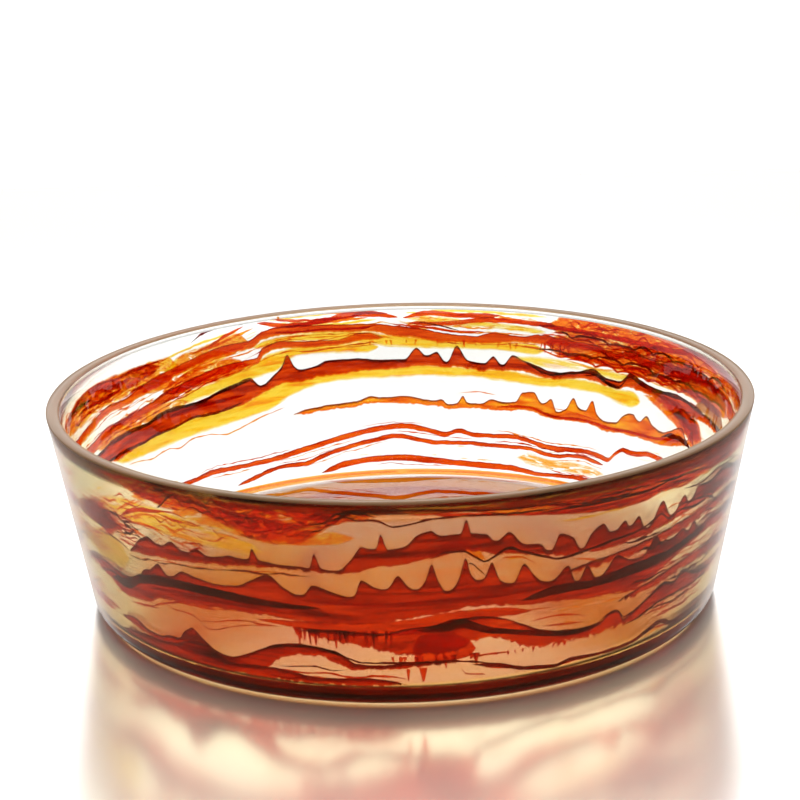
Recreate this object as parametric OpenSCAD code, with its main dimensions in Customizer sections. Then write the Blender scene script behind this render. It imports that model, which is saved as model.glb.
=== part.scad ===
// Cased art glass bowl: a clear inner gather, trails and veils of hot colour laid
// on it, and a clear satin casing fused over the top. Origin on the axis, on the
// table plane. The front of the bowl faces -Y, and the bearings below are degrees
// round the axis from that front towards +X. Millimetres.

/* [Bowl] */
// Outside diameter across the ground rim
rim_diameter = 300; // [240:1:360]
// Overall height from the table to the rim
bowl_height = 88; // [72:1:106]
// How far the rim stands out past the foot of the flared side
rim_overhang = 16; // [8:0.5:24]
// Outside radius of the rounded corner between side and underside
base_corner_radius = 8; // [5:0.5:10]
// Width of the ground bevels on the two rim edges
rim_bevel = 0.6; // [0.2:0.1:1.2]

/* [Glass thickness] */
// Full thickness of the wall, inner gather and outer casing together
wall_thickness = 5.2; // [4.4:0.1:7]
// Share of the wall taken by the outer casing
casing_share = 0.58; // [0.5:0.01:0.65]
// Full thickness of the floor, both layers together
floor_thickness = 6.4; // [5.4:0.1:9]
// Inside radius where the wall runs into the floor
inside_corner_radius = 5; // [3:0.5:8]
// Height of clear casing turned over the top of the gather
rim_cover = 2.2; // [1.6:0.1:3.5]

/* [Colour] */
// Depth of the heavy colour trails, let into the casing
trail_depth = 1.3; // [0.8:0.1:1.6]
// Depth of the thin colour veils, let into the gather's wall and floor
veil_depth = 0.6; // [0.4:0.1:0.9]
// Depth of the colour swirls in the floor
swirl_depth = 0.9; // [0.6:0.1:1.4]
// Longest single length a trail is laid in, in degrees round the wall
longest_length = 60; // [45:5:65]

/* [Hidden] */
$fn = 180;
eps = 0.01;
// How far a pocket's cutter reaches past the seam, on the side with no glass of
// the layer it cuts
reach_past = 0.5;
// Bearing of the clear break between two lengths of one trail
clear_break = 0.6;

rim_radius = rim_diameter / 2;
// Radius where the flared side would meet the table
base_radius = rim_radius - rim_overhang;
flare = atan((rim_radius - base_radius) / bowl_height);
// Height the colour bearings and heights were drawn at
drawn_height = 88;

// Horizontal widths of the layers, measured through the leaning wall
wall_width = wall_thickness / cos(flare);
casing_width = wall_width * casing_share;
casing_floor = floor_thickness * casing_share;
gather_top = bowl_height - rim_cover;

// Radius of the outside surface at a height
function outside(z) = base_radius + (rim_radius - base_radius) * z / bowl_height;
// Radius of the seam between gather and casing at a height
function seam(z) = outside(z) - casing_width;
// Radius of the inside surface at a height
function inside_wall(z) = outside(z) - wall_width;

// Distance from a corner to where its rounding starts, the side leaning by flare
function tangent(radius) = radius / tan((90 + flare) / 2);

/* Side profile of a solid pan: flat underside at height z0, leaning side whose
   corner on the underside lies at radius r0, rounded by radius, up to height z1. */
module pan_profile(r0, z0, radius, z1) {
    t = tangent(radius);
    polygon([[0, z0], [r0 - t, z0],
             [r0 + t * sin(flare), z0 + t * cos(flare)],
             [r0 + (z1 - z0) * tan(flare), z1], [0, z1]]);
    intersection() {
        translate([r0 - t, z0 + radius]) circle(r = radius);
        translate([r0 - t, z0]) square([2 * radius, 2 * radius]);
    }
}

module outside_profile() {
    difference() {
        pan_profile(base_radius, 0, base_corner_radius, bowl_height);
        // ground bevel round the outer edge of the rim
        translate([rim_radius, bowl_height]) rotate(45)
            square(rim_bevel * sqrt(2), center = true);
    }
}

// The seam meets the floor at a plain corner
module seam_profile(top) {
    polygon([[0, casing_floor], [seam(casing_floor), casing_floor],
             [seam(top), top], [0, top]]);
}

module inside_profile() {
    pan_profile(inside_wall(floor_thickness), floor_thickness,
                inside_corner_radius, bowl_height + eps);
    // ground bevel round the inner edge of the rim
    translate([inside_wall(bowl_height), bowl_height]) rotate(45)
        square(rim_bevel * sqrt(2), center = true);
}

// Ring of wall between two offsets from the seam, above the floor
module wall_layer(inner, outer) {
    low = casing_floor;
    high = gather_top;
    rotate_extrude()
        polygon([[seam(low) + inner, low], [seam(low) + outer, low],
                 [seam(high) + outer, high], [seam(high) + inner, high]]);
}

// Clear glass kept above and below the colour in the wall
clear_margin = 0.3;

// Colour outlines are lists of [bearing, lower height, upper height]
function drawn(z) = z * bowl_height / drawn_height;
function lower(path, a) =
    max(drawn(lookup(a, [for (p = path) [p[0], p[1]]])), casing_floor + clear_margin);
function upper(path, a) =
    min(drawn(lookup(a, [for (p = path) [p[0], p[2]]])), gather_top - clear_margin);

function bearings(path, a0, a1) =
    concat([a0], [for (p = path) if (p[0] > a0 && p[0] < a1) p[0]], [a1]);

// An outline pushed straight out through the wall. A long one is laid in lengths
// with a small clear break between them, each a prism along its own middle bearing.
module outline_prisms(path, middle) {
    first = path[0][0];
    last = path[len(path) - 1][0];
    count = ceil((last - first) / longest_length);
    pitch = (last - first + clear_break) / count;
    for (k = [0 : count - 1]) {
        a0 = first + k * pitch;
        a1 = a0 + pitch - clear_break;
        bearing = (a0 + a1) / 2;
        at = bearings(path, a0, a1);
        under = [for (a = at)
            let (z = lower(path, a)) [(seam(z) + middle) * sin(a - bearing), z]];
        over = [for (i = [len(at) - 1 : -1 : 0])
            let (z = upper(path, at[i]))
            [(seam(z) + middle) * sin(at[i] - bearing), z]];
        rotate(bearing) translate([0, -base_radius / 2, 0]) rotate([90, 0, 0])
            linear_extrude(height = rim_diameter) polygon(concat(under, over));
    }
}

// Colour laid along an outline between two offsets from the seam
module laid(path, inner, outer) {
    intersection() {
        wall_layer(inner, outer);
        outline_prisms(path, (inner + outer) / 2);
    }
}

// A heavy trail fills its pocket; reach carries the pocket's cutter past the seam
module trail(path, reach = 0) { laid(path, -reach, trail_depth); }
module veil(path, reach = 0) { laid(path, -veil_depth, reach); }

// ---- outlines: heavy trails let into the casing ----

rim_mottle_front_path = [[-52, 83, 84.5], [-48, 82, 85.5], [-44, 79, 85.5],
    [-41, 78, 85.5], [-38, 76.5, 85.5], [-35, 77.5, 85.5], [-32, 78, 85.5],
    [-29, 76, 85.5], [-26, 73, 85.5], [-22, 69.5, 85.5], [-18, 69, 85.5],
    [-15, 70.5, 85.5], [-12, 75, 85.5], [-9, 79, 85.5], [-6, 80, 85],
    [-3, 81, 84]];

rim_red_right_path = [[-1, 82.5, 84.5], [5, 82, 85.5], [9, 82.4, 85.2],
    [13, 80, 85.4], [18, 78.5, 85.1], [23, 76.5, 85.5], [28, 75, 85.2],
    [33, 74, 85.4], [38, 73.5, 85.1], [43, 75, 85.4], [48, 74, 85.2],
    [53, 75, 85.5], [58, 76, 85.1], [63, 75.5, 85.4], [68, 75, 85.2],
    [73, 78, 84.8], [77, 82, 84]];

rim_mottle_back_path = [[79, 80, 84], [84, 77, 85.5], [90, 75.5, 85.5],
    [96, 76, 85.5], [102, 76.5, 85.5], [108, 77, 85.5], [114, 76.5, 85.5],
    [120, 75, 85.5], [126, 75.5, 85.5], [132, 76, 85.5], [138, 76, 85.5],
    [144, 76.5, 85.5], [150, 77, 84.5], [156, 77, 84.5], [162, 77, 84],
    [168, 77.5, 83.5], [174, 79, 84], [178, 80.5, 85.5], [182, 79.5, 85.5],
    [187, 81, 85.5], [192, 80.5, 85.5], [198, 82, 85.5], [205, 82.4, 85.5],
    [210, 81, 85.5], [216, 80, 85.5], [221, 81, 84.5], [226, 79.5, 82]];

left_amber_mottle_path = [[231, 73.5, 77], [236, 71, 78.5], [242, 69.5, 79],
    [248, 69.5, 79.5], [254, 72, 79.5], [260, 73, 79], [266, 73, 77.5],
    [272, 74, 76.5], [282, 74.5, 77], [292, 76, 78]];

left_red_mottle_path = [[-64, 61, 62.5], [-61, 59, 66], [-57, 57, 69.5],
    [-54.5, 54.5, 69], [-52, 56, 68], [-50.5, 58, 66]];

front_left_thread_path = [[-49, 66.5, 68], [-47, 69, 71], [-44.5, 71.5, 73.5],
    [-42, 73, 74.8], [-39, 73.6, 75]];

front_upper_trail_path = [[-49, 51, 52], [-47, 52, 56], [-43, 53, 62],
    [-40.5, 54, 60], [-38, 54, 63], [-35.5, 55, 60], [-33, 55.5, 62],
    [-30.5, 56, 60], [-27, 57, 62], [-24, 57.5, 61.5], [-23, 58, 66],
    [-22, 58, 62], [-17, 58.5, 60.5], [-14.2, 58, 61], [-13.3, 58, 66.5],
    [-12.3, 58, 61], [-10.2, 57.5, 59.5], [-8, 58, 65], [-6, 59, 70],
    [-4.2, 60.5, 69.5], [-3.3, 61, 75.5], [-2.2, 61, 69], [0, 62, 70],
    [2, 63, 75], [4, 64, 76], [5.5, 64.5, 74], [8, 66, 74], [9, 66, 80],
    [10, 66, 74], [12, 64.5, 74], [13.3, 63.5, 70], [15.3, 63, 73],
    [18, 62, 68], [20.5, 60.5, 67], [22.2, 60, 62.5], [23.6, 59, 69],
    [26, 58.5, 67], [27.7, 58, 61], [29, 58, 67], [31, 57, 69.5],
    [33.3, 57.5, 65], [35.3, 57.5, 68.5], [36.5, 58, 65.5], [38, 58, 68.5],
    [40.2, 58, 62], [43, 59.5, 71.5], [46, 60, 64], [48.5, 61, 70],
    [50.5, 61, 66.5], [52.5, 62, 72], [56, 62, 71], [60, 62, 73],
    [65, 62.5, 71], [72, 61, 67], [79, 60.5, 64]];

front_main_band_path = [[-67, 37, 39], [-63, 36, 40], [-58, 33, 41],
    [-53, 29, 40], [-49, 30, 39.5], [-46, 31, 47], [-43.5, 34, 49],
    [-42, 35, 51], [-40, 35, 47], [-37, 36, 50.5], [-33, 36.5, 49.5],
    [-30, 37, 48.5], [-26, 37, 51], [-24, 37, 53.5], [-21, 37, 56],
    [-18, 36.5, 51], [-16, 36.5, 48.5], [-14, 36, 53], [-11, 36, 51.5],
    [-8, 36, 49], [-6.5, 36.5, 56], [-3, 37, 52.5], [-1, 38, 58],
    [1.5, 39, 52], [3, 39.5, 57], [4, 40, 62.5], [5, 40, 57],
    [6.5, 41, 50.5], [8, 41.5, 57], [9, 42, 64], [10, 42, 58],
    [11.5, 42, 54], [13, 42, 61], [14.5, 41.5, 54], [16.3, 41, 51],
    [18, 40.5, 59], [20, 40, 54], [22, 39.5, 49.5], [25.5, 39, 54.5],
    [27.5, 38, 47], [29, 37.5, 53], [31.3, 37, 46.5], [34.5, 36.5, 54],
    [37, 36, 52], [40, 36, 50], [42.8, 37, 57], [45, 39, 52.5],
    [50, 43.5, 55], [51.5, 44, 53], [53, 45, 56], [55, 46, 52],
    [59, 47, 53], [64, 46.5, 51.5], [72, 45.5, 49.5], [80, 45, 47.5]];

front_lower_swath_path = [[-17, 32, 33.5], [-12, 29, 34], [-8, 27, 33.5],
    [-4, 24, 33], [0, 22.5, 35], [4, 22, 36], [7, 22.5, 38], [10, 26, 38.5],
    [13, 28, 38], [16, 25, 35.5], [20, 21, 31], [22, 20, 28.5],
    [26, 20.5, 26.5], [30, 20, 25.5], [33, 20, 26], [35, 21, 29.5],
    [36.3, 20.5, 29], [38, 20.5, 24], [41, 20.5, 27], [44, 23, 31],
    [47, 24.5, 33.5], [50, 24.5, 31.5], [52, 24, 34.8], [54, 24, 33],
    [58, 24.5, 29.5], [63, 25.5, 28.5], [70, 26, 28.5], [78, 26.5, 28]];

front_arch_trail_path = [[-57, 17, 18.6], [-52, 15, 20], [-48, 14, 17],
    [-45.5, 13, 17], [-43, 14, 18.5], [-40.5, 13, 19], [-39, 13, 23],
    [-37, 12.5, 25.5], [-35, 12.5, 22], [-33, 12, 18], [-30, 12, 16.5],
    [-27, 12.5, 19], [-24, 13, 22.5], [-20.5, 19, 26], [-17, 21.5, 27],
    [-14, 21.5, 26], [-11, 18.5, 24.5], [-8, 16, 19.5], [-4, 16.5, 19],
    [0, 17, 20], [5, 18, 19.8], [8.5, 17.8, 19.2]];

front_low_thread_path = [[10.5, 16.6, 18.2], [15, 14.8, 16.6],
    [20, 11.5, 13.2], [22.5, 10.9, 12.6], [25, 10.6, 11.8], [28, 11.6, 13.2],
    [34, 10.7, 12.2], [40, 10.9, 12.2], [45, 13.2, 15.2], [47.5, 14.2, 16.6],
    [52, 10.9, 13], [57, 10.8, 13], [64, 11.4, 13], [74, 11.2, 12.6],
    [86, 10.6, 11.8], [98, 10, 11]];

upper_red_trail_path = [[83, 70, 71.6], [88, 71, 73], [94, 71.5, 74],
    [99, 71.5, 74.5], [104, 72, 74.8], [110, 71.5, 75.2], [115, 71, 74.5],
    [119, 70, 73], [125, 71, 73.5], [131, 71.5, 74.5], [134, 70.5, 72],
    [140, 71.5, 73.8], [146, 72, 74], [151, 71.5, 75], [156, 71.5, 73.2],
    [161, 70, 74], [165, 69.5, 72], [169, 70, 72.5], [172, 69.5, 73.5],
    [176, 71.5, 75.5], [181, 73, 77], [185, 75.5, 78], [190, 76, 78.5],
    [196, 77, 79.5], [203, 77.5, 80.3], [207, 77, 79.5], [210, 73.5, 76.5],
    [216, 73, 76], [222, 71, 74], [227, 69, 72], [232, 66.5, 70.5],
    [238, 65, 68], [243, 64, 66], [249, 64.5, 66.5], [256, 62.5, 64.8],
    [264, 61.5, 64], [273, 63.5, 66], [284, 66.5, 68.5]];

second_red_trail_path = [[183, 70.5, 72.8], [187, 71.5, 74], [192, 69.8, 71.5],
    [198, 70, 72], [204, 71.5, 73.8], [207.5, 69, 71.8], [209, 65.5, 67.5],
    [214, 65, 67.2], [219, 63.8, 66.2], [224, 61.5, 64.5], [229, 59, 62.5],
    [234, 57.5, 60], [240, 56, 58.5], [246, 55.5, 58], [252, 55, 58],
    [258, 53.5, 56.5], [266, 54, 57], [276, 56.5, 59.5], [286, 59, 61.5],
    [293, 60, 62]];

main_dark_trail_path = [[82, 59, 61], [92, 57, 59.5], [103, 57.5, 60],
    [108, 57, 60], [112, 56.5, 61.5], [117, 57, 62], [122, 57.5, 61],
    [127, 58.5, 63], [130, 59, 64.5], [132.5, 56.5, 59.5], [136, 57, 60],
    [139, 58, 62.5], [143, 57.5, 60], [148, 55.5, 58], [151, 56, 60],
    [155, 57.5, 62.5], [157, 57.5, 64], [159, 56.5, 59], [161, 57, 62.5],
    [163, 56, 59], [166, 57, 60.5], [168.5, 57.5, 67], [170.5, 57, 59],
    [172.5, 57.5, 64], [174.5, 58, 62], [176.5, 58, 66], [179, 57, 60.5],
    [184, 56.5, 60.5], [187, 56.5, 62], [190, 56, 62.5], [194.5, 55.5, 62.5],
    [197, 55, 60], [200, 54, 59], [201.3, 54, 62], [202.5, 54.5, 67],
    [204, 54.5, 62], [206, 53, 58.5], [208.5, 51.5, 54], [211, 49, 59],
    [214, 47, 57.5], [219, 46.5, 55.5], [223, 47, 53], [229, 46.5, 54],
    [234, 45, 53.5], [237.5, 44.5, 51.5], [243, 43.5, 52], [249, 43, 52],
    [255, 45, 50.5], [262, 44.5, 50], [270, 42, 47.5], [280, 39.5, 44],
    [290, 38, 41.5]];

orange_thread_right_path = [[106, 65.5, 66.5], [112, 66.5, 68.5],
    [119, 66.5, 68.6], [126, 66.3, 68.3], [130, 66.8, 69], [133.5, 65.5, 67.2],
    [138, 66.5, 68.5], [143, 66, 68.5], [148, 67, 68.3]];

amber_trail_path = [[84, 46.5, 48], [92, 45, 47], [100, 44, 46],
    [107, 43, 44.5], [108.7, 44, 50], [110, 43, 44.5], [112.5, 41, 49],
    [116, 39, 46], [119, 37.5, 43], [122, 37, 44.5], [124, 37, 47.5],
    [126, 37, 44], [128, 36.5, 46.5], [130.5, 36.5, 44.5], [132, 36, 40.5],
    [135, 35.5, 39.5], [137, 36.5, 42], [138.5, 37, 48], [140, 37, 42.5],
    [141.5, 37, 43.5], [143, 37, 47.5], [144.5, 36.5, 42], [146.5, 36, 39.5],
    [148, 36.5, 45], [150, 37, 42.5], [152, 38.5, 47.5], [154.5, 38.5, 46.5],
    [155.8, 38, 42], [158, 37.5, 41], [161, 37.5, 42], [163.5, 37.5, 39.5],
    [166, 37.5, 39.8], [167, 37.8, 43], [168.3, 37, 39], [170, 36.8, 38.5],
    [171.5, 38, 41], [173, 38.3, 40.2], [179, 39.5, 42.5], [184, 40, 42.3],
    [186, 40.2, 43], [189, 39, 41], [195, 38.6, 40.4], [199, 38, 39.4],
    [202.5, 37.6, 38.6]];

back_red_thread_upper_path = [[80, 27, 28.4], [90, 28, 29.8], [100, 29, 31],
    [110, 29.5, 31.5], [121, 30.2, 32], [127.5, 27.6, 29.6], [129, 28.2, 29.8],
    [131, 25.6, 27.4], [133, 21.4, 23.2], [138, 22.8, 24.4], [147, 21.2, 23],
    [156, 24.2, 25.8], [160, 23.8, 25.4], [164, 23.6, 25.2], [168, 25.2, 27],
    [170.5, 23, 25], [175, 25.6, 27.6], [180, 27.2, 29.4], [185, 26.2, 28.4],
    [192, 23.4, 25.6], [200, 19.8, 22], [210, 17.2, 19], [216, 17.4, 19],
    [223, 18, 20], [228, 17.2, 18.8], [238, 18.5, 20.3], [250, 20, 22],
    [264, 19, 21.2], [278, 17.5, 19.8], [292, 17, 19], [301, 17.2, 18.4]];

back_red_thread_middle_path = [[134, 18.6, 20], [140, 20, 21.2],
    [147, 17.8, 19.2], [153, 19.6, 21], [160, 19.2, 20.6], [166, 19.6, 21],
    [172, 19.2, 20.8], [177, 21, 22.6], [181, 22.6, 24.4], [186, 20.8, 22.6],
    [192, 18.2, 19.8], [197, 15.4, 17], [201, 12.8, 14.4], [206, 13.4, 14.8],
    [211, 11.4, 12.8], [217, 8.6, 10]];

back_red_thread_lower_path = [[102, 9.4, 10.4], [118, 9, 10.4],
    [130, 9.2, 10.8], [139, 9.4, 11], [144, 8.6, 10.2], [150, 7.4, 9.2],
    [156, 8.4, 10.8], [162, 8.2, 11], [168, 9, 11.4], [174, 10, 12.6],
    [180, 11.4, 14], [186, 11.4, 13.6], [192, 10, 12.4], [195, 8.2, 10.6],
    [197.5, 7, 8.4]];

// ---- outlines: thin veils let into the gather ----

yellow_veil_path = [[126, 50, 57.5], [132, 51, 56], [138, 53, 57],
    [145, 53, 56.5], [151, 51.5, 55.5], [158, 52.5, 57], [166, 53.5, 57],
    [174, 53.5, 58], [182, 53, 57.5], [190, 53.5, 57], [197, 52, 56],
    [203, 48, 55], [208, 43, 52], [214, 41, 48], [222, 40, 47.5],
    [230, 39.5, 47], [238, 39, 45.5], [246, 40, 44.5], [251, 42, 44]];

red_veil_right_path = [[108, 52, 55], [111, 49, 56], [114, 47, 56.5],
    [118, 45.5, 57.5], [121, 46, 57.5], [124, 49, 57]];

brown_veil_right_path = [[93, 59, 63], [97, 58, 66.5], [101, 59, 68],
    [105, 61, 68.5], [108, 60, 65], [110, 58, 61]];

blush_veil_path = [[133, 13, 17], [140, 12, 18], [147, 11.5, 17.5],
    [152, 12.5, 19], [155, 14, 17]];

olive_veil_left_path = [[-63, 44, 50], [-60, 41.5, 54], [-56, 41.5, 56],
    [-52, 42, 55.5], [-49.5, 44, 52]];

trail_paths = [rim_mottle_front_path, rim_red_right_path, rim_mottle_back_path,
    left_amber_mottle_path, left_red_mottle_path, front_left_thread_path,
    front_upper_trail_path, front_main_band_path, front_lower_swath_path,
    front_arch_trail_path, front_low_thread_path,
    upper_red_trail_path, second_red_trail_path, main_dark_trail_path,
    orange_thread_right_path, amber_trail_path, back_red_thread_upper_path,
    back_red_thread_middle_path, back_red_thread_lower_path];
veil_paths = [yellow_veil_path, red_veil_right_path, brown_veil_right_path,
    blush_veil_path, olive_veil_left_path];

// ---- maroon ring low in the wall, deepest at the front ----

ring_low = 4;
ring_high_front = 9.6;
ring_high_back = 5.6;

module maroon_ring(reach = 0) {
    low = max(drawn(ring_low), casing_floor + clear_margin);
    rise = low - drawn(ring_low);
    tilt = atan((drawn(ring_high_front) - drawn(ring_high_back)) / (2 * base_radius));
    intersection() {
        wall_layer(-reach, trail_depth);
        translate([0, 0, low])
            cylinder(h = 2 * drawn(ring_high_front), r = rim_diameter);
        translate([0, 0, rise + (drawn(ring_high_front) + drawn(ring_high_back)) / 2])
            rotate([-tilt, 0, 0])
            translate([-rim_diameter, -rim_diameter, -rim_diameter])
            cube([2 * rim_diameter, 2 * rim_diameter, rim_diameter]);
    }
}

// ---- floor: an amber veil let into the gather, over crescents in the casing ----

// Clear glass left round the veil, in from the foot of the seam
veil_inset = 9;

module floor_veil(reach = 0) {
    translate([0, 0, casing_floor - reach])
        cylinder(h = veil_depth + reach, r = seam(casing_floor) - veil_inset);
}

// Each swirl: outer radius, band width at its fattest and bearing of its back,
// both lengths as shares of the base radius
swirl_outer = [0.80, 0.075, 175];
swirl_middle = [0.60, 0.10, 140];
swirl_inner = [0.36, 0.09, 200];

module swirl(form) {
    radius = form[0] * base_radius;
    shift = form[1] * base_radius / 2;
    translate([0, 0, casing_floor - swirl_depth]) rotate(form[2])
        difference() {
            translate([0, -shift / 2, 0])
                cylinder(h = swirl_depth, r = radius);
            translate([0, shift / 2, -eps])
                cylinder(h = swirl_depth + 2 * eps, r = radius - shift);
            // open the thin side of the crescent
            translate([-radius, shift, -eps])
                cube([2 * radius, radius, swirl_depth + 2 * eps]);
        }
}

// ---- nodes ----

module inner_gather() {
    color([0.93, 0.93, 0.90, 0.35]) difference() {
        rotate_extrude() difference() {
            seam_profile(gather_top);
            inside_profile();
        }
        for (path = veil_paths) veil(path, reach_past);
        floor_veil(reach_past);
    }
}

module outer_casing() {
    color([0.90, 0.84, 0.74, 0.35]) difference() {
        rotate_extrude() difference() {
            outside_profile();
            seam_profile(gather_top);
            inside_profile();
        }
        for (path = trail_paths) trail(path, reach_past);
        maroon_ring(reach_past);
        swirl(swirl_outer);
        swirl(swirl_middle);
        swirl(swirl_inner);
    }
}

module rim_mottle_front() { color([0.87, 0.36, 0.06]) trail(rim_mottle_front_path); }
module rim_red_right() { color([0.68, 0.11, 0.02]) trail(rim_red_right_path); }
module rim_mottle_back() { color([0.93, 0.42, 0.08]) trail(rim_mottle_back_path); }
module left_amber_mottle() { color([0.91, 0.50, 0.10]) trail(left_amber_mottle_path); }
module left_red_mottle() { color([0.72, 0.20, 0.06]) trail(left_red_mottle_path); }
module front_left_thread() { color([0.75, 0.22, 0.05]) trail(front_left_thread_path); }
module front_upper_trail() { color([0.60, 0.12, 0.02]) trail(front_upper_trail_path); }
module front_main_band() { color([0.55, 0.08, 0.01]) trail(front_main_band_path); }
module front_lower_swath() { color([0.66, 0.13, 0.02]) trail(front_lower_swath_path); }
module front_arch_trail() { color([0.58, 0.12, 0.02]) trail(front_arch_trail_path); }
module front_low_thread() { color([0.50, 0.10, 0.03]) trail(front_low_thread_path); }
module base_maroon_ring() { color([0.32, 0.02, 0.01]) maroon_ring(); }
module upper_red_trail() { color([0.85, 0.24, 0.02]) trail(upper_red_trail_path); }
module second_red_trail() { color([0.86, 0.27, 0.03]) trail(second_red_trail_path); }
module main_dark_trail() { color([0.58, 0.07, 0.01]) trail(main_dark_trail_path); }
module orange_thread_right() { color([0.90, 0.42, 0.06]) trail(orange_thread_right_path); }
module amber_trail() { color([0.80, 0.38, 0.04]) trail(amber_trail_path); }
module back_red_thread_upper() { color([0.82, 0.20, 0.02]) trail(back_red_thread_upper_path); }
module back_red_thread_middle() { color([0.90, 0.42, 0.22]) trail(back_red_thread_middle_path); }
module back_red_thread_lower() { color([0.85, 0.24, 0.04]) trail(back_red_thread_lower_path); }
module yellow_veil() { color([0.98, 0.85, 0.18, 0.7]) veil(yellow_veil_path); }
module red_veil_right() { color([0.84, 0.20, 0.04, 0.8]) veil(red_veil_right_path); }
module brown_veil_right() { color([0.60, 0.36, 0.20, 0.8]) veil(brown_veil_right_path); }
module blush_veil() { color([0.95, 0.58, 0.42, 0.7]) veil(blush_veil_path); }
module olive_veil_left() { color([0.74, 0.60, 0.18, 0.7]) veil(olive_veil_left_path); }
module floor_amber_veil() { color([0.93, 0.66, 0.38, 0.7]) floor_veil(); }
module floor_swirl_outer() { color([0.80, 0.46, 0.20]) swirl(swirl_outer); }
module floor_swirl_middle() { color([0.86, 0.56, 0.28]) swirl(swirl_middle); }
module floor_swirl_inner() { color([0.76, 0.38, 0.14]) swirl(swirl_inner); }

inner_gather();
outer_casing();
rim_mottle_front();
rim_red_right();
rim_mottle_back();
left_amber_mottle();
left_red_mottle();
front_left_thread();
front_upper_trail();
front_main_band();
front_lower_swath();
front_arch_trail();
front_low_thread();
base_maroon_ring();
upper_red_trail();
second_red_trail();
main_dark_trail();
orange_thread_right();
amber_trail();
back_red_thread_upper();
back_red_thread_middle();
back_red_thread_lower();
yellow_veil();
red_veil_right();
brown_veil_right();
blush_veil();
olive_veil_left();
floor_amber_veil();
floor_swirl_outer();
floor_swirl_middle();
floor_swirl_inner();
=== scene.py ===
import math
import random

import bpy
import numpy as np
from mathutils import Matrix, Vector, noise


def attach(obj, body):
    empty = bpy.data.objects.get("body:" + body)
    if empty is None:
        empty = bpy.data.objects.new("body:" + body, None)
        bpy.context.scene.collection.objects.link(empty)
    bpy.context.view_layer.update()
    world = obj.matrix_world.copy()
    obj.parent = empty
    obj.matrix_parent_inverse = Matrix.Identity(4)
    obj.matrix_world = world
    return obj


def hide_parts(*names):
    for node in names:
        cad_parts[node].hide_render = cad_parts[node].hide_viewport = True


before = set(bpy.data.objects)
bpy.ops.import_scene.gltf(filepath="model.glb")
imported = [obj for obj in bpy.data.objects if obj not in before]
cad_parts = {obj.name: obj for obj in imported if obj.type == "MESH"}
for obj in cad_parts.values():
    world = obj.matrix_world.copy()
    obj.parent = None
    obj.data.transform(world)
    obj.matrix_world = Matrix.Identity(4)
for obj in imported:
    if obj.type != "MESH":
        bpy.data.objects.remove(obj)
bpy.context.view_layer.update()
BODY = "root"
MM = 0.001

# ---- the bowl's sizes, in metres ----
RIM_RADIUS = 0.150
RIM_OVERHANG = 0.016
BASE_RADIUS = RIM_RADIUS - RIM_OVERHANG
HEIGHT = 0.088
WALL = 0.0052
CASING_SHARE = 0.58
FLOOR = 0.0064
CORNER = 0.008
INSIDE_CORNER = 0.005
BEVEL = 0.0006
RIM_COVER = 0.0022
VEIL_INSET = 0.009
FLARE = math.atan(RIM_OVERHANG / HEIGHT)
WALL_WIDTH = WALL / math.cos(FLARE)
CASING_WIDTH = WALL_WIDTH * CASING_SHARE
CASING_FLOOR = FLOOR * CASING_SHARE
GATHER_TOP = HEIGHT - RIM_COVER


def outside(z):
    return BASE_RADIUS + RIM_OVERHANG * z / HEIGHT


def seam(z):
    return outside(z) - CASING_WIDTH


def inside(z):
    return outside(z) - WALL_WIDTH


def wall_point(bearing, z, offset):
    """A point in the wall: degrees round from the front, height, and offset out from the seam."""
    a = math.radians(bearing)
    r = seam(z) + offset
    return (r * math.sin(a), -r * math.cos(a), z)


# ---- mesh helpers ----
def new_object(name, verts, faces, materials, slots, uvs=None):
    mesh = bpy.data.meshes.new(name)
    mesh.from_pydata([tuple(v) for v in verts], [], [tuple(f) for f in faces])
    loops = np.empty(len(mesh.loops), dtype=np.int64)
    mesh.loops.foreach_get("vertex_index", loops)
    for layer_name, values in (uvs or {}).items():
        layer = mesh.uv_layers.new(name=layer_name)
        layer.uv.foreach_set("vector", np.asarray(values, dtype=np.float32)[loops].ravel())
    for m in materials:
        mesh.materials.append(m)
    mesh.polygons.foreach_set("material_index", np.array(slots, dtype=np.int32))
    mesh.update()
    mesh.shade_smooth()
    ob = bpy.data.objects.new(name, mesh)
    bpy.context.scene.collection.objects.link(ob)
    return ob


def lathe(name, profile, materials, steps=256):
    """Turns a closed profile of (radius, height, material slot of the edge that follows) round Z."""
    verts, rings = [], []
    for r, z, _ in profile:
        if r < 1e-9:
            rings.append([len(verts)])
            verts.append((0, 0, z))
        else:
            rings.append(list(range(len(verts), len(verts) + steps)))
            for k in range(steps):
                a = 2 * math.pi * k / steps
                verts.append((r * math.sin(a), -r * math.cos(a), z))
    faces, slots = [], []
    for i, (_, _, slot) in enumerate(profile):
        # the profile runs with the glass on its left, which faces the skin outwards
        lo, hi = rings[(i + 1) % len(profile)], rings[i]
        if len(lo) == 1 and len(hi) == 1:
            continue
        for k in range(steps):
            j = (k + 1) % steps
            if len(lo) == 1:
                faces.append((lo[0], hi[k], hi[j]))
            elif len(hi) == 1:
                faces.append((lo[k], hi[0], lo[j]))
            else:
                faces.append((lo[k], hi[k], hi[j], lo[j]))
            slots.append(slot)
    return new_object(name, verts, faces, materials, slots)


def arc(cx, cz, radius, a0, a1, steps):
    """Points of a rounded corner from one angle to another, in degrees."""
    turn = [math.radians(a0 + (a1 - a0) * k / steps) for k in range(steps + 1)]
    return [(cx + radius * math.cos(t), cz + radius * math.sin(t)) for t in turn]


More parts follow.
